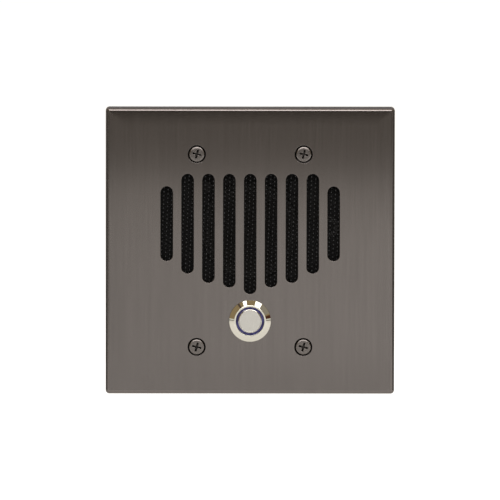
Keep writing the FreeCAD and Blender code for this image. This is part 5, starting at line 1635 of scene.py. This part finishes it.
def addCans():
    radius, groove, base = can["radius"], can["groove"], board["back"]
    top = base + can["height"]
    lid = top - can["sink"]
    profile = [(0, base + 0.25), (radius - 0.75, base + 0.25), (radius - 0.6, base), (radius - 0.2, base),
               (radius, base + 0.25), (radius, base + 1.0), (radius - groove * 0.6, base + 1.2),
               (radius - groove, base + 1.55), (radius - groove * 0.6, base + 1.9), (radius, base + 2.1),
               (radius, top - 0.45), (radius - 0.12, top - 0.13), (radius - 0.45, top),
               (radius - 0.62, top - 0.03), (radius - 0.66, lid), (0, lid)]
    body = lathe(profile, steps=can["steps"])
    long, thin, deep = radius * can["ventReach"], can["ventWidth"] / 2, lid - can["ventDepth"]
    for x, z in ((long, thin), (thin, long)):
        body = cut(body, box((-x, deep, -z), (x, top + 1, z)))
    for face in body.faces:
        x, y, z = face.calc_center_median() / mm
        reach = math.hypot(x, z)
        if y > top - 0.4 and reach < radius - 0.6:
            face.material_index = 2
        elif y < base + 0.3 and reach < radius - 0.5:
            face.material_index = 3
        elif abs(math.atan2(z, x)) < can["stripe"]:
            face.material_index = 1
    rest = random.Random(11)
    parts = []
    for x, z in board["cans"]:
        turn = Matrix.Rotation(rest.choice((0, math.pi)) + rest.uniform(-0.25, 0.25), 4, "Y")
        parts.append((body, Matrix.Translation((x * mm, 0, z * mm)) @ turn))
        for side in (-1, 1):
            lead = rod((x + side * board["canSpacing"] / 2, z), 0.3, board["leadEnd"], base + 0.4, 16)
            parts.append(marked(lead, 4))
    coats = ["sleeveBlue", "sleeveStripe", "drawnAluminium", "sealRubber", "tinnedTags"]
    addPiece("capacitors_sleeved", joined(*parts), coats, "capacitors", sharp=35)


resistor = {
    "radius": 1.15,
    "waist": 0.93,
    "length": 6.2,
    "round": 0.45,  # how much of each end is rounded, and the slope from the waist takes as much
    "waistEnd": 1.35,
    "lift": 0.3,
    "lead": 0.3,
    "bands": (-2.25, -1.15, -0.35, 0.45, 2.25),
    "bandWidth": 0.42,
    "steps": 32,
}


def resistorRadius(along):
    radius, waist, end = resistor["radius"], resistor["waist"], resistor["round"]
    away = abs(along)
    past = away - resistor["length"] / 2 + end
    if past > 0:
        return radius * math.sqrt(max(0, 1 - (past / end) ** 2) * 0.75 + 0.25)
    swell = min(1, max(0, (away - resistor["waistEnd"]) / end))
    return waist + (radius - waist) * (3 - 2 * swell) * swell ** 2


def addResistors():
    half = resistor["length"] / 2
    edge = resistor["bandWidth"] / 2
    stops = {round(-half + resistor["length"] * i / 40, 4) for i in range(41)}
    for band in resistor["bands"]:
        stops |= {round(band - edge, 4), round(band + edge, 4)}
    profile = [(0, -half)] + [(resistorRadius(s), s) for s in sorted(stops)] + [(0, half)]
    lay = Matrix.Rotation(math.radians(-90), 4, "Z")
    pick = random.Random(23)
    level = board["back"] + resistor["radius"] + resistor["lift"]
    spread = board["resistorSpacing"] / 2
    parts = []
    for z in board["resistorRows"]:
        body = lathe(profile, steps=resistor["steps"])
        colours = [pick.randrange(1, 6), pick.randrange(0, 6), pick.randrange(0, 4), 0, 7]
        for face in body.faces:
            along = face.calc_center_median().y / mm
            for band, colour in zip(resistor["bands"], colours):
                if abs(along - band) < edge:
                    face.material_index = colour + 2
        parts.append((body, Matrix.Translation(Vector((board["resistorX"], level, z)) * mm) @ lay))
        for side in (-1, 1):
            x = board["resistorX"] + side * spread
            inner = board["resistorX"] + side * (half - 0.2)
            route = [(inner, level, z), (x - side * 1.1, level, z), (x - side * 0.1, level, z),
                     (x, level - 1.1, z), (x, board["leadEnd"], z)]
            parts.append(marked(pipe(route, resistor["lead"]), 1))
    coats = ["resistorTan", "tinnedTags"] + list(bandColours)
    addPiece("resistors_banded", joined(*parts), coats, "resistors", sharp=40)


wires = {  # coat, its radius, the core's radius, bare length at each end, and routes in mm
    "contact_leads": ("coatRed", 0.5, 0.27, (1.3, 1.1), [
        [(-3.2, 17.0, -30.35), (-3.2, 21.0, -30.35), (-3.4, 27.9, -30.0), (-7.7, 27.3, -15.9),
         (-8.0, 23.4, -15.5), (-8.0, 20.6, -15.5)],
        [(3.2, 17.0, -30.35), (3.2, 21.0, -30.35), (3.1, 27.3, -30.6), (8.2, 27.8, -15.2),
         (8.0, 23.4, -15.5), (8.0, 20.6, -15.5)]]),
    "led_leads": ("coatWhite", 0.5, 0.27, (1.3, 1.1), [
        [(0.0, 17.0, -23.95), (0.0, 20.2, -23.95), (0.2, 25.8, -23.9), (2.9, 25.7, -15.6),
         (3.0, 23.0, -15.5), (3.0, 20.6, -15.5)],
        [(0.0, 17.0, -36.75), (0.0, 21.5, -36.75), (-0.2, 30.0, -36.4), (-3.2, 30.3, -15.8),
         (-3.0, 24.0, -15.5), (-3.0, 20.6, -15.5)]]),
    "speaker_leads": ("coatBlack", 0.4, 0.2, (0.7, 0.9), [
        [(24.45, 14.0, level), (26.45, 14.0, level), (30.95, 14.0, level), (30.95, 17.6, level),
         (30.95, 19.0, level)] for level in tag["levels"]]),
    "microphone_leads": ("coatWhite", 0.4, 0.2, (0.6, 0.9), [
        [(34.4 + side * 1.3, 5.2, 10.0), (34.4 + side * 1.3, 7.4, 10.0), (34.4 + side * 1.35, 9.9, 10.0),
         (34.4 + side * 1.25, 14.4, 14.0), (34.4 + side * 1.3, 16.8, 14.0), (34.4 + side * 1.3, 19.0, 14.0)]
        for side in (-1, 1)]),
}

tinselLead = {
    "radius": 0.25,
    "route": [(23.45, 13.8), (23.45, 11.6), (23.45, 9.8), (21.4, 9.7), (17.6, 9.9), (15.4, 9.8), (13.2, 8.6)],
    "bend": (20.5, 14.0),  # x places between which it was meant to follow the cone more and more; nothing reads this or bendLevel
    "bendLevel": 9.8,
}


def addWires():
    for node, (coat, radius, core, bare, routes) in wires.items():
        parts = [part for route in routes for part in insulated(route, radius, core, bare)]
        addPiece(node + "_coated", joined(*parts), [coat, "tinnedTags"], node, sharp=50)
    for count, level in enumerate(tag["levels"]):
        lead = pipe([(x, y, level) for x, y in tinselLead["route"]], tinselLead["radius"], 10)
        piece = addPiece(f"tinsel_lead_{count + 1}", lead, "tinsel", "tinsel_leads", body="blended", sharp=60)
        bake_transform(piece)


addMicrophone()
addSpring()
print("microphone and spring")
addBoard()
addChip()
addCans()
addResistors()
addWires()
for node, width, finish in (
        ("plunger", 0.1, "switchPlastic"), ("spring_seat", 0.1, "switchPlastic"),
        ("switch_base", 0.16, "switchPlastic"),
        ("moving_contact", 0.06, "silverBrass"), ("fixed_contacts", 0.06, "silverBrass"),
        ("led_pins", 0.05, "tinnedTags"), ("leds", 0.08, "lampEpoxy"), ("led_board", 0.04, "maskGreen"),
        ("terminal_block", 0.14, "terminalGreen"), ("terminal_clamps", 0.09, "brightZinc"),
        ("terminal_screws", 0.12, "brightZinc"), ("terminal_pins", 0.06, "tinnedTags"),
        ("volume_trimmer", 0.12, "trimmerBlue"), ("trimmer_rotor", 0.1, "rotorCream")):
    edged(node, width, finish)
print("board:", len(traces), "traces,", len(throughHoles()), "soldered holes")


# End

print("done")
